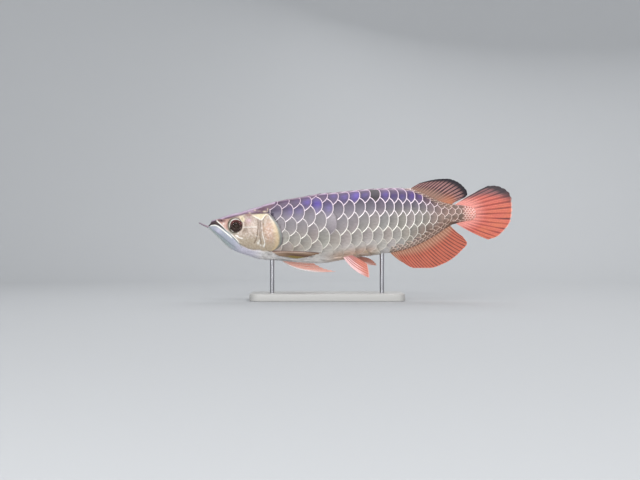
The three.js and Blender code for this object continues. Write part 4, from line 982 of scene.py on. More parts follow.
MIDDLE_LIFT, SHEATH_LIFT, TAIL_LIFT = 0.25, 0.45, 0.35
TAIL_START, TAIL_END, TAIL_SIZE = 227, 245, 4.6
TAIL_ROWS = np.linspace(0.12, 0.88, 7)
RIM_WIDTH = 1.08


def column_place(column):
    """Where a column's rear edges stand on the middle row."""
    return smooth_curve(SCALE_COLUMNS, column)


def row_offset(x, rows_down):
    """How far a row lies under the middle one, in row pitches."""
    front, rear = smooth_curve(FRONT_OFFSETS, rows_down), smooth_curve(REAR_OFFSETS, rows_down)
    return front + (rear - front) * soft_step(0, 115, x)


def row_shift(x, rows_down):
    """How far a row's edges stand behind those of the middle row, in millimetres."""
    front, rear = smooth_curve(FRONT_SHIFTS, rows_down), smooth_curve(REAR_SHIFTS, rows_down)
    return front + (rear - front) * soft_step(30, 150, x)


def girth_at(x):
    """Length of the half girth at a place along the fish."""
    return np.interp(x, table_x, half_girth)


# The template of one plate: shares along it and across it for each of its points, which
# run column by column over the top and then along the underside of the rear edge.
across_v, along_s = np.meshgrid(PLATE_V, PLATE_S, indexing="ij")
plate_v = np.concatenate([across_v.ravel(), PLATE_V])
plate_s = np.concatenate([along_s.ravel(), np.ones(len(PLATE_V))])
plate_under = np.concatenate([np.zeros(across_v.size), np.ones(len(PLATE_V))])
plate_count = len(plate_v)
edge_offset = EDGE_DEPTH * np.abs(plate_v) ** EDGE_POWER
edge_slope = EDGE_DEPTH * EDGE_POWER * np.abs(plate_v) ** (EDGE_POWER - 1) * FULL_SPACING / FULL_PITCH
edge_cosine = 1 / np.sqrt(1 + edge_slope ** 2)
plate_top = np.arange(across_v.size).reshape(across_v.shape)
plate_low = across_v.size + np.arange(len(PLATE_V))
plate_quads = np.concatenate([
    quad_grid(*across_v.shape)[:, ::-1],
    np.stack([plate_top[:-1, -1], plate_low[:-1], plate_low[1:], plate_top[1:, -1]], -1),
    np.stack([plate_top[1:, 0], plate_low[1:], plate_low[:-1], plate_top[:-1, 0]], -1)])
end_low = np.full((2, len(PLATE_S) - 1), plate_low[[0, -1], None])
plate_triangles = np.concatenate([
    np.stack([plate_top[0, :-1], plate_top[0, 1:], end_low[0]], -1),
    np.stack([plate_top[-1, 1:], plate_top[-1, :-1], end_low[1]], -1)])


def plate_set(edge_x, edge_g, spacing, pitch, turn=0.0, raise_by=0.0, hold=None, raise_from=-900.0):
    """Plates given by where their rear edges stand, the spacing along the fish and the
    row pitch as a share of the half girth. They climb away from their roots, and their
    rear edges are round and thick. With hold, a plate that would cross the middle line
    is drawn in to end that many pitches short of it. The set is raised by a height from
    a place on. Returns points, place along, share round and reach to the rear edge."""
    edge_x, edge_g, spacing, pitch = [
        np.asarray(value, float)[:, None] for value in (edge_x, edge_g, spacing, pitch)]
    behind = PLATE_LENGTH - plate_s * (PLATE_LENGTH - edge_offset)
    x = edge_x - behind * spacing
    above, below = pitch, pitch
    if hold is not None:
        hold = np.asarray(hold)[..., None] * pitch
        above = np.clip((edge_g - hold) / PLATE_V[-1], 0.02 * pitch, pitch)
        below = np.clip((1 - edge_g - hold) / PLATE_V[-1], 0.02 * pitch, pitch)
    g = edge_g + plate_v * np.where(plate_v < 0, above, below) - np.asarray(turn)[..., None] * (edge_x - x)
    if hold is not None:
        g = np.clip(g, hold, 1 - hold)
    limit = shoulder_place(body_point(x, np.clip(np.abs(g), 0, 1))[..., 2]) - SHOULDER_COVER
    x = np.where(x < limit, limit + 0.08 * (x - limit), x)
    size = spacing / FULL_SPACING
    climb = 1 - behind / PLATE_LENGTH
    height = PLATE_RISE * climb - PLATE_SINK - 0.1 * (plate_s == 1) - PLATE_WALL * plate_under
    height = height * (1 - 0.85 * soft_step(0.78, 0.86, edge_g) * soft_step(60, 20, edge_x))
    reach = (1 - plate_s) * (PLATE_LENGTH - edge_offset) * spacing * edge_cosine
    raised = raise_by * soft_step(raise_from, raise_from + 18, x)
    return body_point(x, g, size * height + raised), x, g, reach


lattice = np.array([(row, column + (0.5 if row % 2 == 0 else 0.0)) for row in ROWS for column in COLUMNS])
row_down, columns = lattice[:, 0] - MIDDLE_ROW_NUMBER, lattice[:, 1]
edge_x = column_place(columns) + row_shift(column_place(columns), row_down)
row_pitch = smooth_curve(ROW_PITCH, edge_x)
edge_g = smooth_curve(MIDDLE_ROW, edge_x) + row_offset(edge_x, row_down) * row_pitch
local_pitch = row_pitch * (row_offset(edge_x, row_down + 0.5) - row_offset(edge_x, row_down - 0.5))
spacing = column_place(columns + 0.5) - column_place(columns - 0.5)
row_turn = ROW_FOLLOW * (smooth_curve(MIDDLE_ROW, edge_x + 4) - smooth_curve(MIDDLE_ROW, edge_x - 4)) / 8
edge_z = body_point(edge_x, np.clip(edge_g, 0, 1))[:, 2]
kept = (edge_g > 0.02) & (edge_g < 0.985) & (edge_x > shoulder_place(edge_z) + 1.5) & (edge_x < LAST_EDGE)
at_fin = ((edge_x > DORSAL_ROOT[0] - 4) | (edge_x > ANAL_ROOT[0] - 4))[kept]
edge_set = [value[kept] for value in (edge_x, edge_g, spacing, local_pitch, row_turn)]
flank = plate_set(*edge_set, hold=np.where(at_fin, 0.04, 0.0))


def middle_plates(columns, is_back):
    """Plates of the middle row along the back or the belly, a little proud."""
    place = column_place(columns)
    pitch = (BACK_SPREAD if is_back else BELLY_SPREAD) * smooth_curve(ROW_PITCH, place)
    space = column_place(columns + 0.5) - column_place(columns - 0.5)
    return plate_set(place, np.full(len(columns), 0.0 if is_back else 1.0), space, pitch, 0.0, MIDDLE_LIFT)


def sheath_plates(from_x, to_x, size, rows_off, is_back):
    """Small plates in rows beside the root of a fin, set off from the middle line by
    the distances given. Every other row stands half a plate back, so they interlock."""
    parts = []
    for number, off in enumerate(rows_off):
        place = np.arange(from_x + 0.5 * size * (number % 2), to_x, size)
        share = off / girth_at(place)
        pitch = abs(rows_off[0] - rows_off[-1]) / (len(rows_off) - 1) / girth_at(place)
        parts.append(plate_set(
            place, share if is_back else 1 - share, np.full(len(place), size), pitch, 0.0, SHEATH_LIFT,
            hold=0.02, raise_from=from_x - PLATE_LENGTH * size))
    return [np.concatenate([part[k] for part in parts]) for k in range(4)]


def tail_root_plates():
    """The smallest plates, in rows all over the end of the tail stalk."""
    parts = []
    for number, share in enumerate(TAIL_ROWS):
        place = np.arange(TAIL_START + 0.5 * TAIL_SIZE * (number % 2), TAIL_END, TAIL_SIZE)
        pitch, size = np.full((2, len(place)), [[TAIL_ROWS[1] - TAIL_ROWS[0]], [TAIL_SIZE]])
        parts.append(plate_set(place, np.full(len(place), share), size, pitch, 0.0, TAIL_LIFT))
    return [np.concatenate([part[k] for part in parts]) for k in range(4)]


back_row = middle_plates(np.concatenate([np.arange(-0.5, 11.6), np.arange(18.6, 22.7)]), True)
belly_row = middle_plates(np.concatenate([np.arange(-1.7, 9.6), np.arange(18.4, 22.7)]), False)
dorsal_sheath = sheath_plates(DORSAL_ROOT[0] + 4, DORSAL_ROOT[1] + 6, 6.6, (5.6, 2.8), True)
anal_sheath = sheath_plates(ANAL_ROOT[0] + 8, ANAL_ROOT[1] + 6, 7.4, (12.6, 8.2, 3.8), False)
tail_root = tail_root_plates()


def both_sides(part, kind):
    """The set on the left flank and its mirror on the right, with its kind and turn."""
    points, *rest = part
    return [(points, *rest, kind, False), (points * (1, -1, 1), *rest, kind, True)]


FLANK, SHEATH = 0, 1
plate_sets = [
    *both_sides(flank, FLANK), *both_sides(dorsal_sheath, SHEATH), *both_sides(anal_sheath, SHEATH),
    *both_sides(tail_root, FLANK), (*back_row, FLANK, False), (*belly_row, FLANK, False)]
scale_points, scale_x, scale_g, scale_reach = [
    np.concatenate([part[k] for part in plate_sets]) for k in range(4)]
scale_kind, mirrored = [
    np.concatenate([np.full(len(part[0]), part[k]) for part in plate_sets])[:, None] for k in (4, 5)]
total = len(scale_points)
first_point = np.arange(total)[:, None, None] * plate_count
scale_faces = [
    (np.where(mirrored[..., None], faces[:, ::-1], faces) + first_point).reshape(-1, faces.shape[1])
    for faces in (plate_quads, plate_triangles)]
scales = new_piece("scales", scale_points, *scale_faces)

RIM_TONES = [
    (0.0, (152, 130, 146)), (0.03, (190, 162, 182)), (0.07, (238, 208, 228)), (0.12, (250, 226, 242)),
    (0.35, (252, 240, 244)), (0.6, (250, 246, 236)), (0.8, (220, 214, 204)), (1.01, (206, 200, 190)),
]
TAIL_RIM, SHEATH_TONE, SHEATH_RIM = tone(250, 218, 208), tone(134, 108, 94), tone(238, 210, 194)
VIOLET, PALE_TONE, DARK_TONE = tone(92, 71, 172), tone(112, 104, 110), tone(60, 54, 50)
VIOLET_ROW = [(-90, 0.2), (-30, 0.2), (0, 0.19), (30, 0.17), (60, 0.12), (150, 0.13)]


def violet_spots(x, g, luck):
    """Strength of the violet sheen: a soft spot on each plate, each in a place and of a
    size of its own, on the two upper rows ahead and on the top row farther back."""
    middle_x, middle_g = x[:, PLATE_MIDDLE, None], np.abs(g[:, PLATE_MIDDLE, None])
    row = bell(middle_g, np.interp(middle_x, *np.array(VIOLET_ROW).T), 0.085)
    row = row * soft_step(-90, -45, middle_x) * soft_step(165, 140, middle_x)
    spot_s, spot_v = 0.7 + 0.12 * luck[:, 1, None], 0.3 * (luck[:, 2, None] - 0.4)
    wide = 0.19 + 0.16 * luck[:, 3, None]
    spot = bell(plate_s, spot_s, 0.6 * wide) * bell(plate_v, spot_v, wide)
    bright = bell(middle_x, 0, 26) * soft_step(0.13, 0.18, middle_g)
    strongest = np.where(middle_g > 0.15, 0.85, 0.58)
    strength = np.clip(0.36 + 0.34 * luck[:, 0, None] + 0.28 * bright, 0, strongest)
    return row * np.clip(spot + 0.16, 0, 1) * strength


def marked_scale(place):
    """1 on the left flank's scale at a place of the net, 0 on all others."""
    marked = np.zeros((total, 1))
    marked[:kept.sum(), 0] = (lattice == place).all(1)[kept]
    return marked


rng = np.random.default_rng(7)
scale_luck = rng.random((total, 4))
pale, dark, in_sheath = marked_scale(PALE_SCALE), marked_scale(DARK_SCALE), scale_kind == SHEATH
near_middle = soft_step(0.14, 0.02, np.minimum(scale_g, 1 - scale_g))
centre_paint = painted(flank_paint(scale_x, scale_g), VIOLET, violet_spots(scale_x, scale_g, scale_luck))
centre_paint = layered(
    centre_paint, (SHEATH_TONE, in_sheath * (0.35 + 0.55 * near_middle)), (PALE_TONE, 0.9 * pale),
    (DARK_TONE, 0.9 * dark))
on_throat = soft_step(0.76, 0.86, scale_g) * soft_step(60, 20, scale_x)
# Painted shade: each plate darker at its root, under the rims of the plates ahead, and darker to its upper
# side; none on the throat.
root_shade = (0.64 + 0.46 * soft_step(0.38, 0.94, plate_s)) * (1 + 0.1 * plate_v)
root_shade = root_shade + on_throat * (1 - root_shade)
centre_paint = centre_paint * ((0.93 + 0.14 * scale_luck[:, :1]) * root_shade)[..., None]
centre_paint = centre_paint * (1 + 0.07 * (scale_luck[:, None, 1:] - 0.5) * (1 - on_throat[..., None]))
rimless = 0.85 * pale + 0.75 * soft_step(0.68, 0.88, scale_g) * soft_step(110, 60, scale_x)
rim_paint = tone_ramp(RIM_TONES, np.clip(np.abs(scale_g), 0, 1))
rim_paint = layered(
    rim_paint, (TAIL_RIM, 0.85 * soft_step(150, 215, scale_x)), (SHEATH_RIM, 0.9 * in_sheath),
    (centre_paint, np.clip(rimless, 0, 1)))
set_paint(scales, centre_paint)
set_paint(scales, rim_paint, "rim_paint")
rim_reach = scale_reach / np.clip(girth_at(scale_x) / 130, 0.5, 1)
scales.data.attributes.new("rim_reach", "FLOAT", "POINT").data.foreach_set(
    "value", rim_reach.astype(np.float32).ravel())

# Each plate has its own square patch on the map that the finish is baked to.
patches = int(np.ceil(np.sqrt(total)))
patch_u = np.broadcast_to(0.5 + 0.46 * plate_v / PLATE_V[-1], (total, plate_count))
patch_v = np.broadcast_to(np.where(plate_under > 0, 0.04, 0.14 + 0.82 * plate_s), (total, plate_count))
patch_column, patch_row = np.arange(total)[:, None] % patches, np.arange(total)[:, None] // patches
point_uv = np.stack([(patch_column + patch_u) / patches, (patch_row + patch_v) / patches], -1).reshape(-1, 2)
corner_point = np.empty(len(scales.data.loops), np.int32)
scales.data.loops.foreach_get("vertex_index", corner_point)
bake_map = scales.data.uv_layers.new(name="OFBake")
bake_map.data.foreach_set("uv", point_uv[corner_point].astype(np.float32).ravel())

scale_material, scale_tree, scale_shader = new_material("scale_plates")
set_inputs(scale_shader, Roughness=0.36, Metallic=0.2, Coat_Weight=0.25, Coat_Roughness=0.2)
scale_noise = stretched_noise(scale_tree, stretch=(0.4, 1, 1), Scale=420, Detail=5)
raise_grain(scale_tree, scale_shader, scale_noise, 0.3, 0.0003)
rim_range = new_node(
    scale_tree, "MapRange", From_Min=RIM_WIDTH * 0.75, From_Max=RIM_WIDTH * 1.6, To_Min=1, To_Max=0)
rim_range.interpolation_type = "SMOOTHSTEP"
rim_mix = new_node(scale_tree, "Mix")
rim_mix.data_type = "RGBA"
centre_colour = attribute_node(scale_tree, "paint").outputs["Color"]
link_nodes(
    scale_tree, (attribute_node(scale_tree, "rim_reach").outputs["Fac"], rim_range.inputs["Value"]),
    (rim_range.outputs["Result"], rim_mix.inputs["Factor"]),
    (speckled(scale_tree, centre_colour, scale_noise, 0.16), rim_mix.inputs["A"]),
    (attribute_node(scale_tree, "rim_paint").outputs["Color"], rim_mix.inputs["B"]),
    (rim_mix.outputs["Result"], scale_shader.inputs["Base Color"]))
scales.data.materials.append(scale_material)
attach(scales, "root")


# Fins of the middle line: soft rays that fork towards the margin, in a thin skin. The
# sheet's two faces stand apart by the skin's thickness and swell over each ray.
ROOT_SINK = 2.5
RAY_COLUMNS, FIN_ROWS, JOINTS = 12, 60, 15
SKIN_HALF, RAY_HALF, OUTER_RAY_SHARE = 0.22, 0.42, 0.45
FIN_ROOT_HALF, TAIL_ROOT_HALF, PAIRED_ROOT_HALF = 1.6, 0.9, 0.7


def square_bow(root, tip, amount):
    """The middle of each ray moved square to it in the side view, as a share of its
    length, as the bend of a curve of second degree."""
    reach = tip - root
    amount = np.broadcast_to(amount, len(root))[:, None]
    return (root + tip) / 2 + amount * np.stack([-reach[:, 2], np.zeros(len(root)), reach[:, 0]], -1)


def fin_sheet(name, rays, root, bend, tip, root_half, scallop=0.03, ripple=0.25):
    """A fin as a closed sheet: each column is a curve of second degree from root over
    bend to tip. Returns the piece, then for each point the share along the ray and
    across the fin, how far it lies between two rays (0 to 0.5), and the ray's profile."""
    columns = (rays - 1) * RAY_COLUMNS + 1
    share = np.linspace(0, 1, columns)[:, None]
    off_ray = np.abs((share * (rays - 1) + 0.5) % 1 - 0.5)
    along = 1 - (1 - np.linspace(0, 1, FIN_ROWS)) ** 1.15
    margin = 1 - scallop * (2 * off_ray) ** 1.5
    margin[[0, -1]] = 1
    t = along * margin
    weight = t[..., None]
    centre = (1 - weight) ** 2 * root[:, None] + 2 * weight * (1 - weight) * bend[:, None]
    centre += weight ** 2 * tip[:, None]
    centre[..., 1] += ripple * np.sin(2 * np.pi * (share * 2.3 + 0.15)) * t ** 2
    fork = soft_step(0.4, 0.62, t)
    ray = bell(off_ray, 0, 0.13) * (1 - fork) + bell(off_ray, 0.16, 0.085) * fork
    jointed = 1 + 0.16 * np.sin(2 * np.pi * JOINTS * t) * soft_step(0.3, 0.5, t)
    half = SKIN_HALF + RAY_HALF * ray * jointed * (1 - 0.6 * t) + root_half * (1 - t) ** 4
    half = half * (1 - 0.6 * soft_step(0.93, 1, t))
    half[[0, -1]] *= OUTER_RAY_SHARE
    normal = np.cross(np.gradient(centre, axis=0), np.gradient(centre, axis=1))
    normal /= np.linalg.norm(normal, axis=-1, keepdims=True) + 1e-12
    grid = quad_grid(columns, FIN_ROWS)
    piece = new_piece(
        name, np.stack([centre + half[..., None] * normal, centre - half[..., None] * normal]),
        grid[:, ::-1], grid + columns * FIN_ROWS, rim_walls(columns, FIN_ROWS))
    make_outward(piece)
    return piece, t, np.broadcast_to(share, t.shape), np.broadcast_to(off_ray, t.shape), ray


def make_outward(piece):
    """Turns every face outward if the closed piece's volume comes out negative."""
    shape = bmesh.new()
    shape.from_mesh(piece.data)
    if shape.calc_volume(signed=True) < 0:
        bmesh.ops.reverse_faces(shape, faces=shape.faces)
    shape.to_mesh(piece.data)
    shape.free()


def finish_fin(piece, paint, node, material):
    """Paints both faces of a fin alike and puts it in its node's place."""
    set_paint(piece, np.stack([paint, paint]))
    piece.data.materials.append(material)
    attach(piece, "root")
    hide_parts(node)


fin_material = flesh_material(
    "fin_coral", roughness=0.42, coat=0.16, metallic=0, speckle=0.14, grain_scale=700, grain_depth=0.0002,
    specular=0.35)
dark_material = flesh_material(
    "fin_dark", roughness=0.55, coat=0.05, metallic=0, speckle=0.14, grain_scale=700, grain_depth=0.0002,
    specular=0.25)

DORSAL_RAYS, DORSAL_BOW = 18, 0.03
DORSAL_TIPS = [
    (152.5, 0, 192), (170, -0.3, 196.5), (185, -0.6, 198.6), (198, -1, 199), (209.3, -1.5, 196),
    (218, -1.8, 191), (225, -2, 184.4), (229.2, -2, 178), (230, -2, 173), (226.5, -2, 168.8),
    (215, -1.5, 163.5),
]
dorsal_share = np.linspace(0, 1, (DORSAL_RAYS - 1) * RAY_COLUMNS + 1)
dorsal_x = DORSAL_ROOT[0] + dorsal_share * (DORSAL_ROOT[1] - DORSAL_ROOT[0])
dorsal_root = np.stack([dorsal_x, np.zeros(len(dorsal_x)), back_height(dorsal_x) - ROOT_SINK], -1)
dorsal_tip = even_line(DORSAL_TIPS, dorsal_share)
dorsal_bow = square_bow(dorsal_root, dorsal_tip, DORSAL_BOW)
dorsal, t, share, off_ray, ray = fin_sheet(
    "dorsal_fin_rays", DORSAL_RAYS, dorsal_root, dorsal_bow, dorsal_tip, FIN_ROOT_HALF, scallop=0.012)
DORSAL_SKIN, DORSAL_RAY, DORSAL_EDGE = tone(48, 26, 36), tone(184, 136, 130), tone(20, 16, 26)
DORSAL_ROOT_TONE, DORSAL_ORANGE = tone(146, 114, 98), tone(200, 120, 80)
paint = layered(
    DORSAL_SKIN, (DORSAL_RAY, np.clip(ray * 1.35, 0, 1) * soft_step(0.96, 0.8, t)),
    (DORSAL_ROOT_TONE, 0.8 * soft_step(0.5, 0.12, t)),
    (DORSAL_ORANGE, 0.6 * soft_step(0.55, 0.9, share) * soft_step(0.7, 0.3, t)),
    (DORSAL_EDGE, 0.92 * soft_step(0.72, 0.92, t)))
finish_fin(dorsal, paint, "dorsal_fin", dark_material)

ANAL_RAYS, ANAL_BOW = 26, -0.08
ANAL_TIPS = [
    (121.5, 0, 63), (144.5, 0.5, 52), (169, 1, 52), (192, 1.5, 59), (210, 1.5, 70), (222, 1.5, 81.5),
    (230.5, 1, 92.5), (223, 0.5, 104),
]
anal_share = np.linspace(0, 1, (ANAL_RAYS - 1) * RAY_COLUMNS + 1)
anal_x = ANAL_ROOT[0] + anal_share * (ANAL_ROOT[1] - ANAL_ROOT[0])
anal_root = np.stack([anal_x, np.zeros(len(anal_x)), belly_height(anal_x) + ROOT_SINK], -1)
anal_tip = even_line(ANAL_TIPS, anal_share)
anal, t, share, off_ray, ray = fin_sheet(
    "anal_fin_rays", ANAL_RAYS, anal_root, square_bow(anal_root, anal_tip, ANAL_BOW), anal_tip, FIN_ROOT_HALF)
ANAL_SKIN, ANAL_RAY, ANAL_LINE = tone(166, 80, 60), tone(196, 104, 80), tone(84, 40, 33)
ANAL_EDGE, ANAL_SHEATH, ANAL_SHEATH_RAY = tone(232, 182, 174), tone(148, 106, 84), tone(196, 152, 128)
anal_lines = soft_step(0.29, 0.46, off_ray + 0.03 * np.sin(29 * share + 8 * t)) * soft_step(0.16, 0.32, t)
sheath_tone = painted(ANAL_SHEATH, ANAL_SHEATH_RAY, np.clip(ray * 1.1, 0, 1))
paint = layered(
    ANAL_SKIN, (ANAL_RAY, np.clip(ray * 1.2, 0, 1)),
    (ANAL_LINE, 0.88 * anal_lines * soft_step(1, 0.93, t)), (sheath_tone, 0.9 * soft_step(0.42, 0.14, t)),
    (sheath_tone, 0.7 * soft_step(0.12, 0.04, share) * soft_step(1, 0.6, t)),
    (ANAL_EDGE, 0.75 * soft_step(0.965, 0.99, t)))
finish_fin(anal, paint, "anal_fin", fin_material)

CAUDAL_RAYS = 15
CAUDAL_ROOTS = [(208, 0, 155.5), (221, 0, 152.5), (227, 0, 142), (221, 0, 131.5), (208, 0, 127.5)]
CAUDAL_TIPS = [
    (264, 1, 187.3), (276, 0.7, 187.7), (287, 0.5, 184.5), (297.5, 0, 177.5), (303, -0.5, 165),
    (304, -0.5, 149), (301.5, 0, 130), (289, 0.5, 112), (279, 1, 103.4), (265.5, 1.5, 98.7),
]
caudal_share = np.linspace(0, 1, (CAUDAL_RAYS - 1) * RAY_COLUMNS + 1)
caudal_root, caudal_tip = even_line(CAUDAL_ROOTS, caudal_share), even_line(CAUDAL_TIPS, caudal_share)
caudal_bow = square_bow(caudal_root, caudal_tip, 0.05 * (1 - 2 * caudal_share))
caudal, t, share, off_ray, ray = fin_sheet(
    "caudal_fin_rays", CAUDAL_RAYS, caudal_root, caudal_bow, caudal_tip, TAIL_ROOT_HALF, scallop=0.018)
CAUDAL_SKIN, CAUDAL_RAY, CAUDAL_ROOT_TONE = tone(182, 84, 70), tone(210, 112, 96), tone(226, 152, 142)
CAUDAL_STREAK, CAUDAL_STREAK_END, CAUDAL_PALE = tone(104, 38, 38), tone(74, 32, 42), tone(244, 220, 212)
CAUDAL_DARK, CAUDAL_DARK_RAY, CAUDAL_ORANGE = tone(50, 42, 50), tone(142, 96, 98), tone(204, 116, 78)
caudal_lines = soft_step(0.34, 0.47, off_ray + 0.04 * np.sin(31 * share + 9 * t)) * soft_step(0.12, 0.34, t)
caudal_lines = caudal_lines * (0.75 + 0.25 * np.sin(47 * share + 5 * t))
streak_tone = painted(CAUDAL_STREAK, CAUDAL_STREAK_END, soft_step(0.55, 0.9, t))
dark_tone = painted(CAUDAL_DARK, CAUDAL_DARK_RAY, np.clip(ray * 1.4, 0, 1) * soft_step(0.94, 0.8, t))
orange_patches = blotches(22 * share, 9 * t, 1.0) * soft_step(0.4, 0.6, t) * soft_step(0.35, 0.5, share)
paint = layered(
    CAUDAL_SKIN, (CAUDAL_RAY, np.clip(ray * 1.2, 0, 1)),
    (CAUDAL_STREAK_END, 0.3 * soft_step(0.05, 0, np.abs(off_ray - 0.3)) * soft_step(0.5, 0.7, t)),
    (CAUDAL_ROOT_TONE, 0.75 * soft_step(0.5, 0.16, t)), (streak_tone, 0.9 * caudal_lines),
    (dark_tone, 0.88 * soft_step(0.5, 0.3, share + 0.5 * (1 - t))),
    (CAUDAL_DARK * 0.6, 0.85 * soft_step(0.76, 0.9, t) * soft_step(0.36, 0.22, share)),
    (CAUDAL_DARK * 0.6, 0.85 * soft_step(0.07, 0.03, share) * soft_step(0.3, 0.55, t)),
    (CAUDAL_ORANGE, 0.5 * orange_patches * (1 - caudal_lines)),
    (CAUDAL_PALE, 0.9 * soft_step(0.012, 0.003, share) * soft_step(0.75, 0.6, t)),
    (CAUDAL_PALE, 0.6 * soft_step(0.965, 0.99, t) * soft_step(0.3, 0.45, share)))
finish_fin(caudal, paint, "caudal_fin", fin_material)


# Paired fins: pectorals and pelvics, each in its own pose, rooted on the belly's sides.
PAIRED_SINK = 2.0
PECTORAL_ROOT = ((-91, 80), (-80, 73.5))
PELVIC_ROOT = ((26, 71), (38.5, 74.5))
# Rays, root, side, tips, and how far the first and the last ray bend off their middle.
PAIRED_FINS = {
    "pectoral_fin_left": (
        8, PECTORAL_ROOT, -1, [(-8, -71.6, 78), (-18, -62, 74.8), (-32, -47, 71), (-48, -31, 68.5)],
        (-6, -8, 3), (2, -2, -1)),
    "pectoral_fin_right": (
        8, PECTORAL_ROOT, 1, [(16, 47, 45.8), (-3.5, 44, 50.5), (-18, 38, 57.5), (-34, 29, 65.5)],
        (-23, 2, -25), (-2, 1, -3)),
    "pelvic_fin_left": (
        7, PELVIC_ROOT, -1, [(69, -27, 37), (68.5, -25.5, 45), (67, -23, 52), (65.5, -20, 59)],
        (-6, -2, -8), (1, 0, 1)),
    "pelvic_fin_right": (
        7, PELVIC_ROOT, 1, [(83.5, 28, 56), (80.5, 27, 60.5), (74, 25, 66), (66, 22, 69.5)],
        (-3, 2, -6), (0, 0, -1)),
}
# Skin, rays, streaks between the rays, and leading edge.
PAIRED_TONES = {
    "pectoral_fin_left": (tone(146, 116, 90), tone(184, 154, 130), tone(92, 62, 46), tone(222, 194, 178)),
    "pectoral_fin_right": (
        tone(255, 188, 170), tone(255, 230, 224), tone(252, 146, 120), tone(255, 252, 252)),
    "pelvic_fin_left": (tone(188, 104, 84), tone(204, 140, 124), tone(170, 88, 70), tone(228, 190, 190)),
    "pelvic_fin_right": (tone(184, 124, 106), tone(208, 160, 146), tone(140, 80, 72), tone(240, 214, 210)),
}
FIN_OLIVE, FIN_BROWN, PELVIC_MAUVE = tone(154, 132, 58), tone(86, 50, 42), tone(160, 116, 118)
for fin_name, (rays, (start, end), side, tips, lead_bend, rest_bend) in PAIRED_FINS.items():
    pair_share = np.linspace(0, 1, (rays - 1) * RAY_COLUMNS + 1)
    root_line = start + pair_share[:, None] * np.subtract(end, start)
    pair_root = side_point(root_line[:, 0], root_line[:, 1])
    pair_root[:, 1] = side * (np.abs(pair_root[:, 1]) - PAIRED_SINK)
    pair_root[:, 2] = root_line[:, 1]
    pair_tip = even_line(tips, pair_share)
    bow = lead_bend + pair_share[:, None] * np.subtract(rest_bend, lead_bend)
    fin, t, share, off_ray, ray = fin_sheet(
        f"{fin_name}_rays", rays, pair_root, (pair_root + pair_tip) / 2 + bow, pair_tip, PAIRED_ROOT_HALF,
        ripple=0.1)
    pair_skin, pair_ray, pair_streak, pair_lead = PAIRED_TONES[fin_name]
    paint = layered(
        pair_skin, (pair_ray, np.clip(ray * 1.3, 0, 1) * (0.9 - 0.35 * t)),
        (pair_streak, 0.7 * soft_step(0.3, 0.47, off_ray) * soft_step(0.15, 0.4, t)),
        (pair_lead, 0.95 * soft_step(0.3, 0.08, share) * soft_step(1, 0.6, t)),
        (pair_lead, 0.35 * soft_step(0.4, 0.05, t) * soft_step(0.9, 0.3, share)))
    if fin_name == "pelvic_fin_left":
        pale_rays = soft_step(0.34, 0.14, off_ray) * soft_step(0.6, 0.5, share) * soft_step(0.95, 0.45, t)
        paint = layered(
            paint, (PELVIC_MAUVE, 0.6 * soft_step(0.55, 0.2, t) * soft_step(0.12, 0.2, share)),
            (pair_lead, 0.95 * pale_rays), (pair_lead, 0.6 * soft_step(0.95, 0.985, t)))
    if fin_name == "pectoral_fin_left":
        olive_part = soft_step(0.56, 0.68, share) * soft_step(0.4, 0.55, t) * soft_step(1, 0.95, t)
        paint = layered(
            # Painted shadow: a dark brown line along the leading edge, where the fin lies against the body;
            # then a brown band across its middle.
            paint, (FIN_BROWN, 0.9 * soft_step(0.07, 0.02, share)),
            (FIN_BROWN, 0.8 * bell(share, 0.5, 0.12) * soft_step(0.3, 0.55, t)),
            (FIN_OLIVE, 0.85 * olive_part))
    finish_fin(fin, paint, fin_name, fin_material)


# Stand: a flat base with rounded corners and two steel rods that stop inside the belly.
BASE_LENGTH, BASE_WIDTH, BASE_HEIGHT = 250.0, 110.0, 12.0
BASE_CORNER, BASE_EDGE = 14.0, 1.5
CORNER_STEPS, EDGE_STEPS = 14, 6
BASE_DARK, BASE_LIGHT = tone(164, 163, 160), tone(182, 181, 178)
ROD_PLACES = {"front": -90.0, "rear": 90.0}
ROD_RADIUS, ROD_SINK = 3.5, 6.0
ROD_ROWS, ROD_SIDES = 12, 40
STEEL_DARK, STEEL_LIGHT = (0.26, 0.26, 0.28), (0.44, 0.44, 0.46)


def base_ring(inset, height):
    """Outline of the base drawn in by inset: four quarter circles joined by straights."""
    turn = np.concatenate([np.linspace(0, np.pi / 2, CORNER_STEPS) + k * np.pi / 2 for k in range(4)])
    centre_x = np.repeat([1, -1, -1, 1], CORNER_STEPS) * (BASE_LENGTH / 2 - BASE_CORNER)
    centre_y = np.repeat([1, 1, -1, -1], CORNER_STEPS) * (BASE_WIDTH / 2 - BASE_CORNER)
    radius = BASE_CORNER - inset
    return np.stack([
        centre_x + radius * np.cos(turn), centre_y + radius * np.sin(turn), np.full(len(turn), height)], -1)


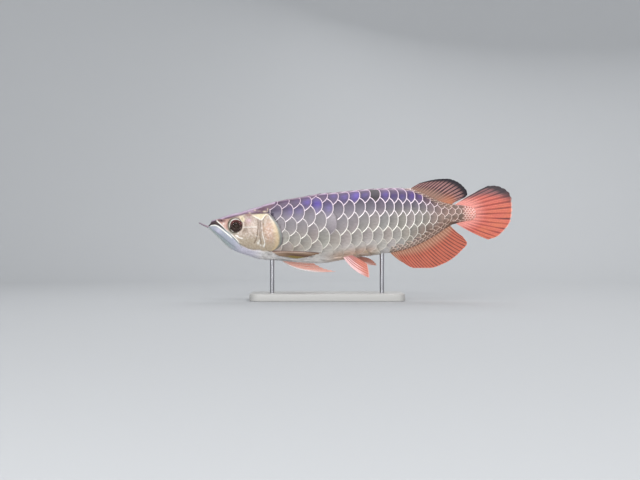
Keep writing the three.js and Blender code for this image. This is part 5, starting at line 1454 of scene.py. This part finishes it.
def wandering_colour(tree, shader, noise, first, second):
    """A base colour that goes from one to another with a noise."""
    ramp = new_node(tree, "ValToRGB")
    ramp.color_ramp.elements[0].color = (*first, 1)
    ramp.color_ramp.elements[1].color = (*second, 1)
    link_nodes(tree, (noise, ramp.inputs["Fac"]), (ramp.outputs["Color"], shader.inputs["Base Color"]))


quarter = np.linspace(0, np.pi / 2, EDGE_STEPS)
edge_in, edge_up = BASE_EDGE * (1 - np.sin(quarter)), BASE_EDGE * (1 - np.cos(quarter))
insets = np.concatenate([[BASE_CORNER - 2], edge_in, edge_up, [BASE_CORNER - 2]])
heights = np.concatenate([[0], edge_up, BASE_HEIGHT - edge_in, [BASE_HEIGHT]])
base_points = np.stack([base_ring(inset, height) for inset, height in zip(insets, heights)])
base_count = base_points.shape[1]
base = new_piece(
    "stand_base_plate", base_points, quad_grid(len(insets), base_count, closed=True),
    [np.arange(base_count)[::-1]], [np.arange(base_count) + (len(insets) - 1) * base_count])
base_material, base_tree, base_shader = new_material("stand_satin")
set_inputs(base_shader, Roughness=0.4)
base_noise = stretched_noise(base_tree, Scale=1400)
wandering_colour(base_tree, base_shader, base_noise, BASE_DARK, BASE_LIGHT)
raise_grain(base_tree, base_shader, base_noise, 0.2, 0.0002)
base.data.materials.append(base_material)
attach(base, "root")
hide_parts("stand_base")

rod_material, rod_tree, rod_shader = new_material("stand_steel")
set_inputs(rod_shader, Metallic=1, Roughness=0.3)
rod_noise = stretched_noise(rod_tree, stretch=(200, 200, 6000), Scale=1)
wandering_colour(rod_tree, rod_shader, rod_noise, STEEL_DARK, STEEL_LIGHT)
rod_turn = np.linspace(0, 2 * np.pi, ROD_SIDES, endpoint=False)
for place_name, place in ROD_PLACES.items():
    rod_top = float(belly_height(np.array(place))) + ROD_SINK
    rod_rings = np.stack(np.broadcast_arrays(
        place + ROD_RADIUS * np.cos(rod_turn), ROD_RADIUS * np.sin(rod_turn),
        np.linspace(BASE_HEIGHT / 2, rod_top, ROD_ROWS)[:, None]), -1)
    rod = capped_tube(f"stand_rod_{place_name}_steel", rod_rings)
    make_outward(rod)
    rod.data.materials.append(rod_material)
    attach(rod, "root")
    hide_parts(f"stand_rod_{place_name}")
